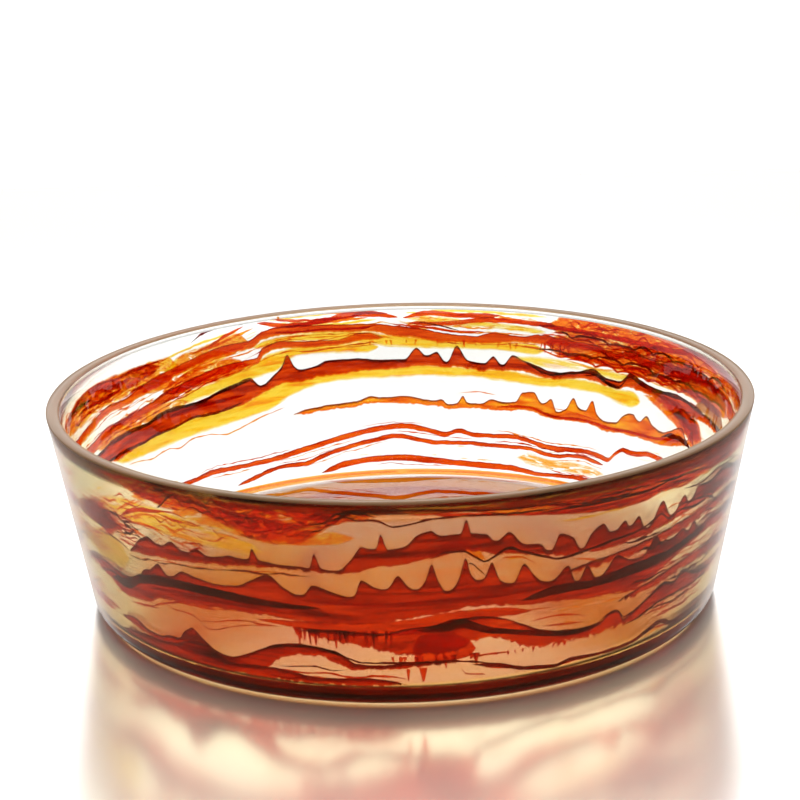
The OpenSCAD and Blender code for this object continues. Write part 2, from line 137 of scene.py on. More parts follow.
def smooth_curve(points, at):
    """A curve through (x, y) points without overshoot, read at each x in at (monotone cubic)."""
    x = np.array([p[0] for p in points], dtype=float)
    y = np.array([p[1] for p in points], dtype=float)
    h = np.diff(x)
    d = np.diff(y) / h
    m = np.zeros(len(x))
    m[0], m[-1] = d[0], d[-1]
    for i in range(1, len(x) - 1):
        if d[i - 1] * d[i] > 0:
            w1, w2 = 2 * h[i] + h[i - 1], h[i] + 2 * h[i - 1]
            m[i] = (w1 + w2) / (w1 / d[i - 1] + w2 / d[i])
    at = np.clip(np.asarray(at, dtype=float), x[0], x[-1])
    i = np.clip(np.searchsorted(x, at) - 1, 0, len(h) - 1)
    t = (at - x[i]) / h[i]
    return ((1 + 2 * t) * (1 - t) ** 2 * y[i] + t * (1 - t) ** 2 * h[i] * m[i]
            + t * t * (3 - 2 * t) * y[i + 1] + t * t * (t - 1) * h[i] * m[i + 1])


def narrow_peaks(points, at, power):
    """A drip edge: the curve through (x, y) points with its peaks pinched and its valleys opened."""
    line = smooth_curve(points, at)
    valleys, crests = [points[0]], [points[0]]
    for before, here, after in zip(points, points[1:], points[2:]):
        if here[1] <= before[1] and here[1] <= after[1]:
            valleys.append(here)
        elif here[1] > before[1] and here[1] > after[1]:
            crests.append(here)
    base = np.minimum(smooth_curve(valleys + [points[-1]], at), line)
    top = np.maximum(smooth_curve(crests + [points[-1]], at), line)
    span = np.maximum(top - base, 0.01)
    return base + span * ((line - base) / span) ** power


def rough_line(at, seed, size, reach):
    """Small seeded wander along bearings: size in mm, one bend is about reach degrees long."""
    return np.array([size * noise.fractal(Vector((a / reach, seed * 7.31, 0.5)), 1.0, 2.1, 4) for a in at])


SKIN_STEP = 0.3      # degrees between the sections of a broad trail
THREAD_STEP = 0.6    # and of a thread
UV_RADIUS = 14.2     # cm, the radius at which arc length is measured for the wall UV
LEAST_HALF = 0.12    # mm, half the height of the finest ribbon
FULL_HALF = 0.8      # mm, the half height from which a ribbon has its full thickness
LENS_TURN = 0.92     # of the quarter turn that the thickness falls off over
TIP_SHARE = 0.03     # of a ribbon's height, left at its two ends
DRIP_RING = 6        # points round a drip


class Piece:
    """One part of the colour, joined from closed lens-sectioned ribbons of glass."""

    def __init__(self):
        self.verts, self.faces, self.slots, self.materials = [], [], [], []
        self.wall_uv, self.edge_uv = [], []

    def slot(self, material):
        if material not in self.materials:
            self.materials.append(material)
        return self.materials.index(material)

    def band(self, material, path, offset=0.0007, thick=0.0011, seed=1, wander=0.3, step=SKIN_STEP, side=6,
             taper=2.5, drips=0.0, grow=0.0):
        """A band that follows an outline of (bearing, lower mm, upper mm) and is widened by grow mm.
        drips is the power that pinches its upper peaks, or 0."""
        first, last = path[0][0], path[-1][0]
        at = np.linspace(first, last, max(8, int(round((last - first) / step))) + 1)
        low = smooth_curve([(p[0], p[1]) for p in path], at) + rough_line(at, seed, wander, 1.6)
        high = [(p[0], p[2]) for p in path]
        high = narrow_peaks(high, at, drips) if drips else smooth_curve(high, at)
        high = high + rough_line(at, seed + 3, wander, 1.2) + grow
        low = low - grow
        mid, half = (low + high) / 2, np.maximum((high - low) / 2, LEAST_HALF)
        half = half * np.clip(np.minimum(at - first, last - at) / taper, TIP_SHARE, 1) ** 0.6
        ring, start, n = 2 * side, len(self.verts), len(at)
        for i, a in enumerate(at):
            for k in range(ring):
                out = 1 if k < side else -1
                s = out * ((k % side + 0.5) / side * 2 - 1)
                z = mid[i] + half[i] * math.sin(s * math.pi / 2)
                bulge = thick / 2 * min(1.0,
                    half[i] / FULL_HALF) * math.cos(s * math.pi / 2 * LENS_TURN) ** 0.5
                self.verts.append(wall_point(a, z * MM, offset + out * bulge))
                self.wall_uv.append((math.radians(a) * UV_RADIUS, z / 10))
                self.edge_uv.append((mid[i] + half[i] - z, z - mid[i] + half[i]))
        for i in range(n - 1):
            for k in range(ring):
                j, here = (k + 1) % ring, start + i * ring
                self.faces.append((here + k, here + j, here + ring + j, here + ring + k))
        self.faces.append(tuple(start + k for k in range(ring - 1, -1, -1)))
        self.faces.append(tuple(start + (n - 1) * ring + k for k in range(ring)))
        self.slots += [self.slot(material)] * ((n - 1) * ring + 2)

    def thread(self, material, points, width, seed=1, wander=0.35, **kwargs):
        """A fine thread along (bearing, height mm) points."""
        path = [(b, z - width / 2, z + width / 2) for b, z in points]
        kwargs = {"step": THREAD_STEP, "side": 3, "taper": 3.0, "thick": 0.0008, **kwargs}
        self.band(material, path, seed=seed, wander=wander, **kwargs)

    def drip(self, material, bearing, top, bottom, width, offset=0.0007, lean=0.0, steps=8):
        """A run of glass down the wall that narrows to its lower end; width in degrees."""
        start, ring = len(self.verts), DRIP_RING
        for i in range(steps + 1):
            t = i / steps
            z = top + (bottom - top) * t
            half = width / 2 * (1 - 0.75 * t) + 0.02
            for k in range(ring):
                turn = 2 * math.pi * k / ring
                b = bearing + lean * t + half * math.cos(turn)
                self.verts.append(wall_point(b, z * MM, offset + 0.0004 * math.sin(turn)))
                self.wall_uv.append((math.radians(b) * UV_RADIUS, z / 10))
                self.edge_uv.append((1.5, 1.5))
        for i in range(steps):
            for k in range(ring):
                j, here = (k + 1) % ring, start + i * ring
                self.faces.append((here + k, here + ring + k, here + ring + j, here + j))
        self.faces.append(tuple(start + k for k in range(ring)))
        self.faces.append(tuple(start + steps * ring + k for k in range(ring - 1, -1, -1)))
        self.slots += [self.slot(material)] * (steps * ring + 2)

    def shell(self, material, profile, steps=240):
        """A closed profile of (radius, height) in metres turned round Z."""
        start, n = len(self.verts), len(profile)
        for r, z in profile:
            for k in range(steps):
                a = 2 * math.pi * k / steps
                self.verts.append((r * math.sin(a), -r * math.cos(a), z))
                self.wall_uv.append((a * UV_RADIUS, z * 100))
                self.edge_uv.append((3.0, 3.0))
        for i in range(n):
            lo, hi = start + ((i + 1) % n) * steps, start + i * steps
            for k in range(steps):
                j = (k + 1) % steps
                self.faces.append((lo + k, hi + k, hi + j, lo + j))
        self.slots += [self.slot(material)] * (n * steps)

    def build(self, node):
        ob = new_object(node + "_glass", self.verts, self.faces, self.materials, self.slots,
                        {"wall": self.wall_uv, "edge": self.edge_uv})
        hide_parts(node)
        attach(ob, BODY)
        return ob


# ---- materials ----
def node_tree(name):
    m = bpy.data.materials.new(name)
    m.use_nodes = True
    m.node_tree.nodes.clear()
    return m, m.node_tree


def add(nt, kind, inputs=None, **props):
    n = nt.nodes.new(kind)
    for k, v in props.items():
        setattr(n, k, v)
    for k, v in (inputs or {}).items():
        if isinstance(v, bpy.types.NodeSocket):
            nt.links.new(v, n.inputs[k])
        else:
            n.inputs[k].default_value = v
    return n


def ramp(nt, fac, stops, interpolation="EASE"):
    n = add(nt, "ShaderNodeValToRGB", {"Fac": fac})
    cr = n.color_ramp
    cr.interpolation = interpolation
    while len(cr.elements) < len(stops):
        cr.elements.new(0.5)
    for e, (p, c) in zip(cr.elements, stops):
        e.position = p
        e.color = (*c, 1) if isinstance(c, tuple) else (c, c, c, 1)
    return n.outputs["Color"]


def math_node(nt, operation, *values):
    return add(nt, "ShaderNodeMath", dict(enumerate(values)), operation=operation).outputs[0]


def blend(nt, factor, a, b):
    """Colour a where factor is 0, b where it is 1."""
    a = (*a, 1) if isinstance(a, tuple) else a
    b = (*b, 1) if isinstance(b, tuple) else b
    return add(nt, "ShaderNodeMix", {"Factor": factor, "A": a, "B": b}, data_type="RGBA").outputs[2]


def fade(nt, value, start, end):
    """1 below start, 0 above end, smooth between."""
    n = add(nt, "ShaderNodeMapRange", {"Value": value, "From Min": start, "From Max": end, "To Min": 1.0,
        "To Max": 0.0}, interpolation_type="SMOOTHSTEP")
    return n.outputs[0]


def stretched_noise(nt, vector, scale, seed, detail=5.0, roughness=0.6, distortion=0.0):
    place = add(nt, "ShaderNodeMapping", {"Vector": vector, "Location": (seed * 3.1, seed * 1.7, 0.0),
                                         "Scale": (*scale, 1.0)})
    n = add(nt, "ShaderNodeTexNoise", {"Vector": place.outputs[0], "Scale": 1.0, "Detail": detail,
                                      "Roughness": roughness, "Distortion": distortion})
    return n.outputs["Fac"]


def lets_light_through(nt, surface, tint):
    """Shadow rays pass the clear glass, so that lamps reach what is behind it."""
    path = add(nt, "ShaderNodeLightPath")
    clear = add(nt, "ShaderNodeBsdfTransparent", {"Color": tint})
    mix = add(nt, "ShaderNodeMixShader", {0: path.outputs["Is Shadow Ray"], 1: surface,
        2: clear.outputs[0]})
    add(nt, "ShaderNodeOutputMaterial", {"Surface": mix.outputs[0]})


def clear_glass(name, roughness, pale, painted_front_shade=None, ior=1.5, specular=0.5, reflect=(1.0, 1.0, 1.0), bump=None,
                frost=None):
    """Clear glass; frost mixes in the matt look of ground glass, and painted_front_shade paints shade on the
    front of the bowl, away from the back light, as deeper amber tints high up, low down and in streaks."""
    m, nt = node_tree(name)
    coord = add(nt, "ShaderNodeTexCoord").outputs["Object"]
    uneven = add(nt, "ShaderNodeTexNoise", {"Vector": coord, "Scale": 14.0, "Detail": 4.0}).outputs["Fac"]
    tint = ramp(nt, uneven, [(0.3, tuple(c * 0.985 for c in pale)), (0.7, pale)])
    # painted shade: the front, away from the back light, takes a deeper amber tint, set by its place along Y
    if painted_front_shade:
        upper, lower, streak = painted_front_shade
        place = add(nt, "ShaderNodeSeparateXYZ", {"Vector": coord})
        along = add(nt, "ShaderNodeMapping", {"Vector": coord, "Scale": (16.0, 16.0, 90.0)}).outputs[0]
        bands = add(nt, "ShaderNodeTexNoise", {"Vector": along, "Scale": 1.0, "Detail": 5.0,
            "Roughness": 0.6, "Distortion": 1.1}).outputs["Fac"]
        height = math_node(nt, "MULTIPLY_ADD", bands, 0.03, place.outputs[2])
        shade_tint = blend(nt, fade(nt, height, FRONT_SHADE_LOW, FRONT_SHADE_HIGH), upper, lower)
        shade_tint = blend(nt, fade(nt, bands, 0.34, 0.52), shade_tint, streak)
        shade_side = math_node(nt, "MULTIPLY_ADD", uneven, 0.05, place.outputs[1])
        tint = blend(nt, fade(nt, shade_side, FRONT_SHADE_FULL, FRONT_SHADE_GONE), tint, shade_tint)
        # the longer way through the glass near its outline
        grazing = add(nt, "ShaderNodeLayerWeight", {"Blend": 0.4}).outputs["Facing"]
        tint = blend(nt, fade(nt, grazing, 0.95, 0.55), tint, EDGE_ON)
    p = add(nt, "ShaderNodeBsdfPrincipled", {"Base Color": tint, "Transmission Weight": 1.0,
        "Roughness": roughness, "IOR": ior, "Specular IOR Level": specular,
        "Specular Tint": (*reflect, 1)})
    if bump:
        scale, strength, distance = bump
        grain = add(nt, "ShaderNodeTexNoise", {"Vector": coord, "Scale": scale, "Detail": 4.0})
        b = add(nt, "ShaderNodeBump", {"Height": grain.outputs["Fac"], "Strength": strength,
            "Distance": distance})
        nt.links.new(b.outputs[0], p.inputs["Normal"])
    surface = p.outputs[0]
    if frost:
        share, colour = frost
        mottled = ramp(nt, uneven, [(0.35, tuple(c * 0.88 for c in colour)), (0.65, colour)])
        matt = add(nt, "ShaderNodeBsdfDiffuse", {"Color": mottled})
        surface = add(nt, "ShaderNodeMixShader", {0: share, 1: surface, 2: matt.outputs[0]}).outputs[0]
    lets_light_through(nt, surface, tint)
    return m


def fused_seam(name):
    m, nt = node_tree(name)
    t = add(nt, "ShaderNodeBsdfTransparent", {"Color": (1, 1, 1, 1)})
    add(nt, "ShaderNodeOutputMaterial", {"Surface": t.outputs[0]})
    return m


def face(total):
    """Tint of one face of a piece, from what light becomes on passing both of its faces."""
    return tuple(c ** 0.5 for c in total)


def trail_glass(name, stops, seed, flow=(0.35, 3.2), distortion=0.6, outline=None, outline_depth=0.9,
        halo=None, halo_depth=1.2, fringe=0.0, soft=0.0, fray=None, veins=None, body=0.12, painted_backlight=None):
    """Coloured glass, lengths in mm and colours as totals over two faces.
    stops: colours picked by flow lines; outline: dark line under the top edge; halo: colour near the lower
    edge;
    fringe: depth of the streaks that break the lower edge; soft: width over which both edges fade away; fray:
    noise level below which the glass is left clear; veins: colour of fine crossing veins; painted_backlight:
    painted backlight, the brighter colour the glass is given round the back of the bowl, where the back light
    shines through."""
    m, nt = node_tree(name)
    wall = add(nt, "ShaderNodeUVMap", uv_map="wall").outputs[0]
    edge = add(nt, "ShaderNodeSeparateXYZ", {"Vector": add(nt, "ShaderNodeUVMap",
        uv_map="edge").outputs[0]})
    lines = stretched_noise(nt, wall, flow, seed, detail=6.0, distortion=distortion)
    tint = ramp(nt, lines, [(p, face(c)) for p, c in stops])
    wobble = math_node(nt, "SUBTRACT", lines, 0.5)
    if veins:
        fine = stretched_noise(nt, wall, (flow[0] * 2.6, flow[1] * 1.9), seed + 5.0, detail=6.0,
            distortion=1.6)
        crest = math_node(nt, "ABSOLUTE", math_node(nt, "SUBTRACT", fine, 0.5))
        tint = blend(nt, fade(nt, crest, 0.008, 0.035), tint, face(veins))
    low = edge.outputs[1]
    if fringe:
        streaks = stretched_noise(nt, wall, (4.5, 0.5), seed + 9.0, detail=3.0, roughness=0.65)
        depth = math_node(nt, "MULTIPLY", math_node(nt, "SUBTRACT", streaks, 0.34), fringe * 3.0)
        low = math_node(nt, "SUBTRACT", low, depth)
    if halo:
        near = math_node(nt, "ADD", low, math_node(nt, "MULTIPLY", wobble, halo_depth * 1.5))
        tint = blend(nt, fade(nt, near, 0.0, halo_depth), tint, face(halo))
    if outline:
        under = math_node(nt, "ADD", edge.outputs[0], math_node(nt, "MULTIPLY", wobble,
            outline_depth * 2.0))
        tint = blend(nt, fade(nt, under, outline_depth * 0.35, outline_depth), tint, face(outline))
    # painted backlight: round the back of the bowl the glass is painted a brighter colour for the back light
    # shining through it
    if painted_backlight:
        back = add(nt, "ShaderNodeSeparateXYZ", {"Vector": add(nt,
            "ShaderNodeTexCoord").outputs["Object"]}).outputs[1]
        tint = blend(nt, fade(nt, back, 0.0, 0.09), face(painted_backlight), tint)
    clear = add(nt, "ShaderNodeBsdfTransparent", {"Color": tint})
    glow = add(nt, "ShaderNodeBsdfTranslucent", {"Color": tint})
    out = add(nt, "ShaderNodeMixShader", {0: body, 1: clear.outputs[0], 2: glow.outputs[0]}).outputs[0]
    gone = None
    if fringe:
        gone = fade(nt, low, -0.25, 0.3)
    if soft:
        nearest = math_node(nt, "MINIMUM", edge.outputs[0], edge.outputs[1])
        nearest = math_node(nt, "ADD", nearest, math_node(nt, "MULTIPLY", wobble, soft * 1.6))
        gone = fade(nt, nearest, 0.0, soft)
    if fray is not None:
        patch = stretched_noise(nt, wall, (flow[0] * 1.3, flow[1] * 0.8), seed + 13.0, detail=6.0,
            distortion=1.2)
        holes = fade(nt, patch, fray - 0.03, fray + 0.05)
        gone = holes if gone is None else math_node(nt, "MAXIMUM", gone, holes)
    if gone is not None:
        none = add(nt, "ShaderNodeBsdfTransparent", {"Color": (1, 1, 1, 1)})
        out = add(nt, "ShaderNodeMixShader", {0: gone, 1: out, 2: none.outputs[0]}).outputs[0]
    add(nt, "ShaderNodeOutputMaterial", {"Surface": out})
    return m


# painted front shade: where along Y it is full and where it ends, and the heights its two tints blend over
FRONT_SHADE_FULL, FRONT_SHADE_GONE = 0.0, 0.13
FRONT_SHADE_LOW, FRONT_SHADE_HIGH = 0.030, 0.075
EDGE_ON = (0.42, 0.22, 0.09)
FRONT_SHADE_TINTS = ((0.98, 0.88, 0.44), (1.0, 0.76, 0.32), (1.0, 0.68, 0.24))
polished = clear_glass("polished_glass", 0.02, (0.80, 0.795, 0.77), specular=0.04)
# the satin casing carries the painted shade on its front
satin = clear_glass("satin_glass", 0.22, (0.84, 0.835, 0.81), painted_front_shade=FRONT_SHADE_TINTS, ior=1.45, specular=0.10,
                    reflect=(1.0, 0.6, 0.3), bump=(900.0, 0.12, 0.0002))
ground = clear_glass("ground_rim_glass", 0.15, (0.42, 0.23, 0.10), specular=0.08, reflect=(1.0, 0.6, 0.3),
    bump=(1500.0, 0.1, 0.0001), frost=(0.45, (0.60, 0.38, 0.20)))
seam_clear = fused_seam("fused_seam")

# light becomes these colours on passing a trail
BLACKENED = (0.07, 0.001, 0.0005)
DARK_RED = (0.16, 0.003, 0.001)
DEEP_RED = (0.34, 0.010, 0.001)
RED = (0.55, 0.030, 0.002)
BRIGHT_RED = (0.74, 0.070, 0.004)
VERMILION = (0.85, 0.15, 0.008)
ORANGE = (0.92, 0.30, 0.015)
LIGHT_ORANGE = (0.96, 0.45, 0.06)
GOLD = (0.95, 0.53, 0.02)
YELLOW = (0.97, 0.70, 0.06)
PALE_YELLOW = (1.0, 0.86, 0.32)
CREAM = (1.0, 0.93, 0.72)
BLUSH = (1.0, 0.74, 0.50)
TAN = (0.80, 0.52, 0.24)
BROWN = (0.42, 0.13, 0.025)

deep_red = trail_glass("deep_red_glass", [(0.36, DEEP_RED), (0.50, RED), (0.60, BRIGHT_RED),
    (0.72, DEEP_RED)], 1.0, outline=BLACKENED, outline_depth=1.5, halo=VERMILION, halo_depth=1.3,
    fringe=0.9)
front_red = trail_glass("front_red_glass", [(0.34, DARK_RED), (0.44, DEEP_RED), (0.54, RED),
    (0.68, BRIGHT_RED)], 2.0, flow=(0.22, 2.4), outline=DARK_RED, outline_depth=2.2, halo=RED,
    halo_depth=1.6, fringe=1.3)
bright_red = trail_glass("bright_red_glass", [(0.34, RED), (0.50, BRIGHT_RED), (0.66, VERMILION)], 3.0,
                         outline=DEEP_RED, outline_depth=0.6, halo=ORANGE, halo_depth=1.0, fringe=0.5)
swath_red = trail_glass("swath_red_glass", [(0.34, DEEP_RED), (0.48, RED), (0.62, BRIGHT_RED),
    (0.74, VERMILION)], 4.0, flow=(0.6, 2.0), outline=DARK_RED, outline_depth=1.6, fringe=2.2, fray=0.30)
amber = trail_glass("amber_trail_glass", [(0.34, GOLD), (0.43, ORANGE), (0.54, VERMILION), (0.68, RED)],
    5.0, flow=(0.5, 3.0), outline=(0.30, 0.05, 0.005), outline_depth=1.1, halo=VERMILION, halo_depth=1.4,
    fringe=0.8)
mottle_hot = trail_glass("hot_mottle_glass", [(0.30, PALE_YELLOW), (0.42, LIGHT_ORANGE), (0.49, VERMILION),
                                              (0.58, BRIGHT_RED), (0.70, DEEP_RED)], 6.0,
                         flow=(0.55, 2.1), distortion=1.6, veins=DEEP_RED, soft=1.4, fray=0.36)
mottle_fire = trail_glass("fire_mottle_glass", [(0.34, PALE_YELLOW), (0.41, LIGHT_ORANGE),
    (0.47, VERMILION), (0.52, ORANGE), (0.57, BRIGHT_RED), (0.63, ORANGE), (0.70, PALE_YELLOW)], 21.0,
    flow=(0.75, 2.4), distortion=1.5, veins=BRIGHT_RED, soft=1.2, fray=0.30)
mottle_gold = trail_glass("gold_mottle_glass", [(0.30, CREAM), (0.40, YELLOW), (0.50, LIGHT_ORANGE),
    (0.60, ORANGE), (0.72, VERMILION)], 7.0, flow=(0.5, 2.2), distortion=1.4, veins=VERMILION, soft=1.2,
    fray=0.38)
striped_rim = trail_glass("striped_rim_glass", [(0.32, YELLOW), (0.42, ORANGE), (0.50, BRIGHT_RED),
    (0.62, RED), (0.74, DEEP_RED)], 8.0, flow=(0.16, 3.4), distortion=1.0, veins=DARK_RED, soft=0.8)
yellow = trail_glass("yellow_veil_glass", [(0.34, ORANGE), (0.44, GOLD), (0.54, YELLOW), (0.68, GOLD)],
    9.0, soft=1.8)
haze = trail_glass("haze_glass", [(0.36, PALE_YELLOW), (0.52, YELLOW), (0.66, BLUSH)], 10.0, soft=2.2,
    fray=0.40)
blush = trail_glass("blush_veil_glass", [(0.36, BLUSH), (0.50, LIGHT_ORANGE), (0.64, CREAM)], 11.0,
    soft=1.6, fray=0.44, veins=ORANGE)
olive = trail_glass("olive_veil_glass", [(0.36, (0.80, 0.62, 0.12)), (0.54, (0.88, 0.66, 0.20)),
    (0.68, TAN)], 12.0, soft=3.0)
brown = trail_glass("brown_veil_glass", [(0.36, BROWN), (0.52, (0.55, 0.22, 0.06)),
    (0.66, (0.66, 0.36, 0.12))], 13.0, soft=1.0)
red_veil = trail_glass("red_veil_glass", [(0.34, RED), (0.46, BRIGHT_RED), (0.54, VERMILION),
    (0.64, LIGHT_ORANGE)], 14.0, flow=(1.0, 1.6), distortion=1.6, soft=2.0, veins=RED)
# painted backlight: the maroon is painted light orange round the back of the bowl
maroon = trail_glass("maroon_glass", [(0.34, (0.05, 0.001, 0.0005)), (0.52, (0.13, 0.003, 0.001)),
                                      (0.70, (0.24, 0.008, 0.001))], 15.0, flow=(0.3, 2.0), soft=0.9,
                       painted_backlight=LIGHT_ORANGE)
back_thread = trail_glass("back_thread_glass", [(0.34, RED), (0.52, BRIGHT_RED), (0.70, VERMILION)], 22.0,
                          outline=DEEP_RED, outline_depth=0.5)
red_thread = trail_glass("red_thread_glass", [(0.36, RED), (0.56, BRIGHT_RED), (0.70, VERMILION)], 16.0)
dark_thread = trail_glass("dark_thread_glass", [(0.36, BLACKENED), (0.54, DARK_RED), (0.68, DEEP_RED)],
    17.0)
orange_thread = trail_glass("orange_thread_glass", [(0.36, VERMILION), (0.54, ORANGE), (0.68, GOLD)], 18.0)
yellow_thread = trail_glass("yellow_thread_glass", [(0.36, GOLD), (0.54, YELLOW), (0.68, PALE_YELLOW)],
    19.0, soft=0.5)
pale_thread = trail_glass("pale_thread_glass", [(0.36, BLUSH), (0.54, LIGHT_ORANGE), (0.68, CREAM)], 20.0,
    soft=0.3)

# ---- clear glass: casing and gather as turned skins that share an invisible seam ----
SATIN, POLISH, GROUND, SEAM = 0, 1, 2, 3
SKINS = [satin, polished, ground, seam_clear]
FLARE_DEG = math.degrees(FLARE)
FLAT_RADIUS = 0.06      # of a ring on the flat of the floor


def corner_run(radius):
    """How far from a corner its rounding starts, along the floor."""
    return radius / math.tan(math.radians(90 + FLARE_DEG) / 2)


def slotted(points, slot):
    return [(r, z, slot) for r, z in points]


foot = (BASE_RADIUS - corner_run(CORNER), CORNER)
seam_line = [(0, CASING_FLOOR)] + [(seam(z), z) for z in (CASING_FLOOR, HEIGHT / 2, GATHER_TOP)]
casing_profile = (
    slotted([(0, 0), (FLAT_RADIUS, 0)], SATIN)
    + slotted(arc(*foot, CORNER, -90, -FLARE_DEG, 10), SATIN)
    + slotted([(outside(z), z) for z in np.linspace(2 * CORNER, HEIGHT - BEVEL, 12)], SATIN))
casing_profile[-1] = (*casing_profile[-1][:2], GROUND)
casing_profile += (
    slotted([(RIM_RADIUS - BEVEL, HEIGHT), (inside(HEIGHT) + BEVEL, HEIGHT)], GROUND)
    + slotted([(inside(HEIGHT - BEVEL), HEIGHT - BEVEL)], POLISH)
    + slotted([(inside(GATHER_TOP), GATHER_TOP), *seam_line[::-1]], SEAM))
inner_corner = (inside(FLOOR) - corner_run(INSIDE_CORNER), FLOOR + INSIDE_CORNER)
gather_profile = (
    slotted(seam_line, SEAM)
    + slotted([(inside(z), z) for z in np.linspace(GATHER_TOP, FLOOR + 1.8 * INSIDE_CORNER, 12)], POLISH)
    + slotted(arc(*inner_corner, INSIDE_CORNER, -FLARE_DEG, -90, 8), POLISH)
    + slotted([(FLAT_RADIUS, FLOOR), (0, FLOOR)], POLISH))
for node, profile, slot in (
        ("outer_casing", casing_profile, "satin_glass"),
        ("inner_gather", gather_profile, "clear_glass")):
    skin = lathe(node + "_glass", profile, SKINS)
    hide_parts(node)
    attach(skin, BODY)

# ---- outlines of the colour: (bearing, lower mm, upper mm) ----
RIM_MOTTLE_FRONT_PATH = [(-52, 83, 84.5), (-48, 82, 85.5), (-44, 79, 85.5), (-41, 78, 85.5),
    (-38, 76.5, 85.5), (-35, 77.5, 85.5), (-32, 78, 85.5), (-29, 76, 85.5), (-26, 73, 85.5),
    (-22, 69.5, 85.5), (-18, 69, 85.5), (-15, 70.5, 85.5), (-12, 75, 85.5), (-9, 79, 85.5), (-6, 80, 85),
    (-3, 81, 84)]

RIM_RED_RIGHT_PATH = [(-1, 82.5, 84.5), (5, 82, 85.5), (9, 82.4, 85.2), (13, 80, 85.4), (18, 78.5, 85.1),
    (23, 76.5, 85.5), (28, 75, 85.2), (33, 74, 85.4), (38, 73.5, 85.1), (43, 75, 85.4), (48, 74, 85.2),
    (53, 75, 85.5), (58, 76, 85.1), (63, 75.5, 85.4), (68, 75, 85.2), (73, 78, 84.8), (77, 82, 84)]

RIM_MOTTLE_BACK_PATH = [(79, 80, 84), (84, 77, 85.5), (90, 75.5, 85.5), (96, 76, 85.5), (102, 76.5, 85.5),
    (108, 77, 85.5), (114, 76.5, 85.5), (120, 75, 85.5), (126, 75.5, 85.5), (132, 76, 85.5),
    (138, 76, 85.5), (144, 76.5, 85.5), (150, 77, 84.5), (156, 77, 84.5), (162, 77, 84),
    (168, 77.5, 83.5), (174, 79, 84), (178, 80.5, 85.5), (182, 79.5, 85.5), (187, 81, 85.5),
    (192, 80.5, 85.5), (198, 82, 85.5), (205, 82.4, 85.5), (210, 81, 85.5), (216, 80, 85.5),
    (221, 81, 84.5), (226, 79.5, 82)]

LEFT_AMBER_MOTTLE_PATH = [(231, 73.5, 77), (236, 71, 78.5), (242, 69.5, 79), (248, 69.5, 79.5),
    (254, 72, 79.5), (260, 73, 79), (266, 73, 77.5), (272, 74, 76.5), (282, 74.5, 77), (292, 76, 78)]

LEFT_RED_MOTTLE_PATH = [
    (-64, 61, 62.5), (-61, 59, 66), (-57, 57, 69.5), (-54.5, 54.5, 69), (-52, 56, 68), (-50.5, 58, 66)]

FRONT_LEFT_THREAD_PATH = [
    (-49, 66.5, 68), (-47, 69, 71), (-44.5, 71.5, 73.5), (-42, 73, 74.8), (-39, 73.6, 75)]

FRONT_UPPER_TRAIL_PATH = [(-49, 51, 52), (-47, 52, 56), (-43, 53, 62), (-40.5, 54, 60), (-38, 54, 63),
    (-35.5, 55, 60), (-33, 55.5, 62), (-30.5, 56, 60), (-27, 57, 62), (-24, 57.5, 61.5), (-23, 58, 66),
    (-22, 58, 62), (-17, 58.5, 60.5), (-14.2, 58, 61), (-13.3, 58, 66.5), (-12.3, 58, 61),
    (-10.2, 57.5, 59.5), (-8, 58, 65), (-6, 59, 70), (-4.2, 60.5, 69.5), (-3.3, 61, 75.5), (-2.2, 61, 69),
    (0, 62, 70), (2, 63, 75), (4, 64, 76), (5.5, 64.5, 74), (8, 66, 74), (9, 66, 80), (10, 66, 74),
    (12, 64.5, 74), (13.3, 63.5, 70), (15.3, 63, 73), (18, 62, 68), (20.5, 60.5, 67), (22.2, 60, 62.5),
    (23.6, 59, 69), (26, 58.5, 67), (27.7, 58, 61), (29, 58, 67), (31, 57, 69.5), (33.3, 57.5, 65),
    (35.3, 57.5, 68.5), (36.5, 58, 65.5), (38, 58, 68.5), (40.2, 58, 62), (43, 59.5, 71.5), (46, 60, 64),
    (48.5, 61, 70), (50.5, 61, 66.5), (52.5, 62, 72), (56, 62, 71), (60, 62, 73), (65, 62.5, 71),
    (72, 61, 67), (79, 60.5, 64)]

FRONT_MAIN_BAND_PATH = [(-67, 37, 39), (-63, 36, 40), (-58, 33, 41), (-53, 29, 40), (-49, 30, 39.5),
    (-46, 31, 47), (-43.5, 34, 49), (-42, 35, 51), (-40, 35, 47), (-37, 36, 50.5), (-33, 36.5, 49.5),
    (-30, 37, 48.5), (-26, 37, 51), (-24, 37, 53.5), (-21, 37, 56), (-18, 36.5, 51), (-16, 36.5, 48.5),
    (-14, 36, 53), (-11, 36, 51.5), (-8, 36, 49), (-6.5, 36.5, 56), (-3, 37, 52.5), (-1, 38, 58),
    (1.5, 39, 52), (3, 39.5, 57), (4, 40, 62.5), (5, 40, 57), (6.5, 41, 50.5), (8, 41.5, 57), (9, 42, 64),
    (10, 42, 58), (11.5, 42, 54), (13, 42, 61), (14.5, 41.5, 54), (16.3, 41, 51), (18, 40.5, 59),
    (20, 40, 54), (22, 39.5, 49.5), (25.5, 39, 54.5), (27.5, 38, 47), (29, 37.5, 53), (31.3, 37, 46.5),
    (34.5, 36.5, 54), (37, 36, 52), (40, 36, 50), (42.8, 37, 57), (45, 39, 52.5), (50, 43.5, 55),
    (51.5, 44, 53), (53, 45, 56), (55, 46, 52), (59, 47, 53), (64, 46.5, 51.5), (72, 45.5, 49.5),
    (80, 45, 47.5)]

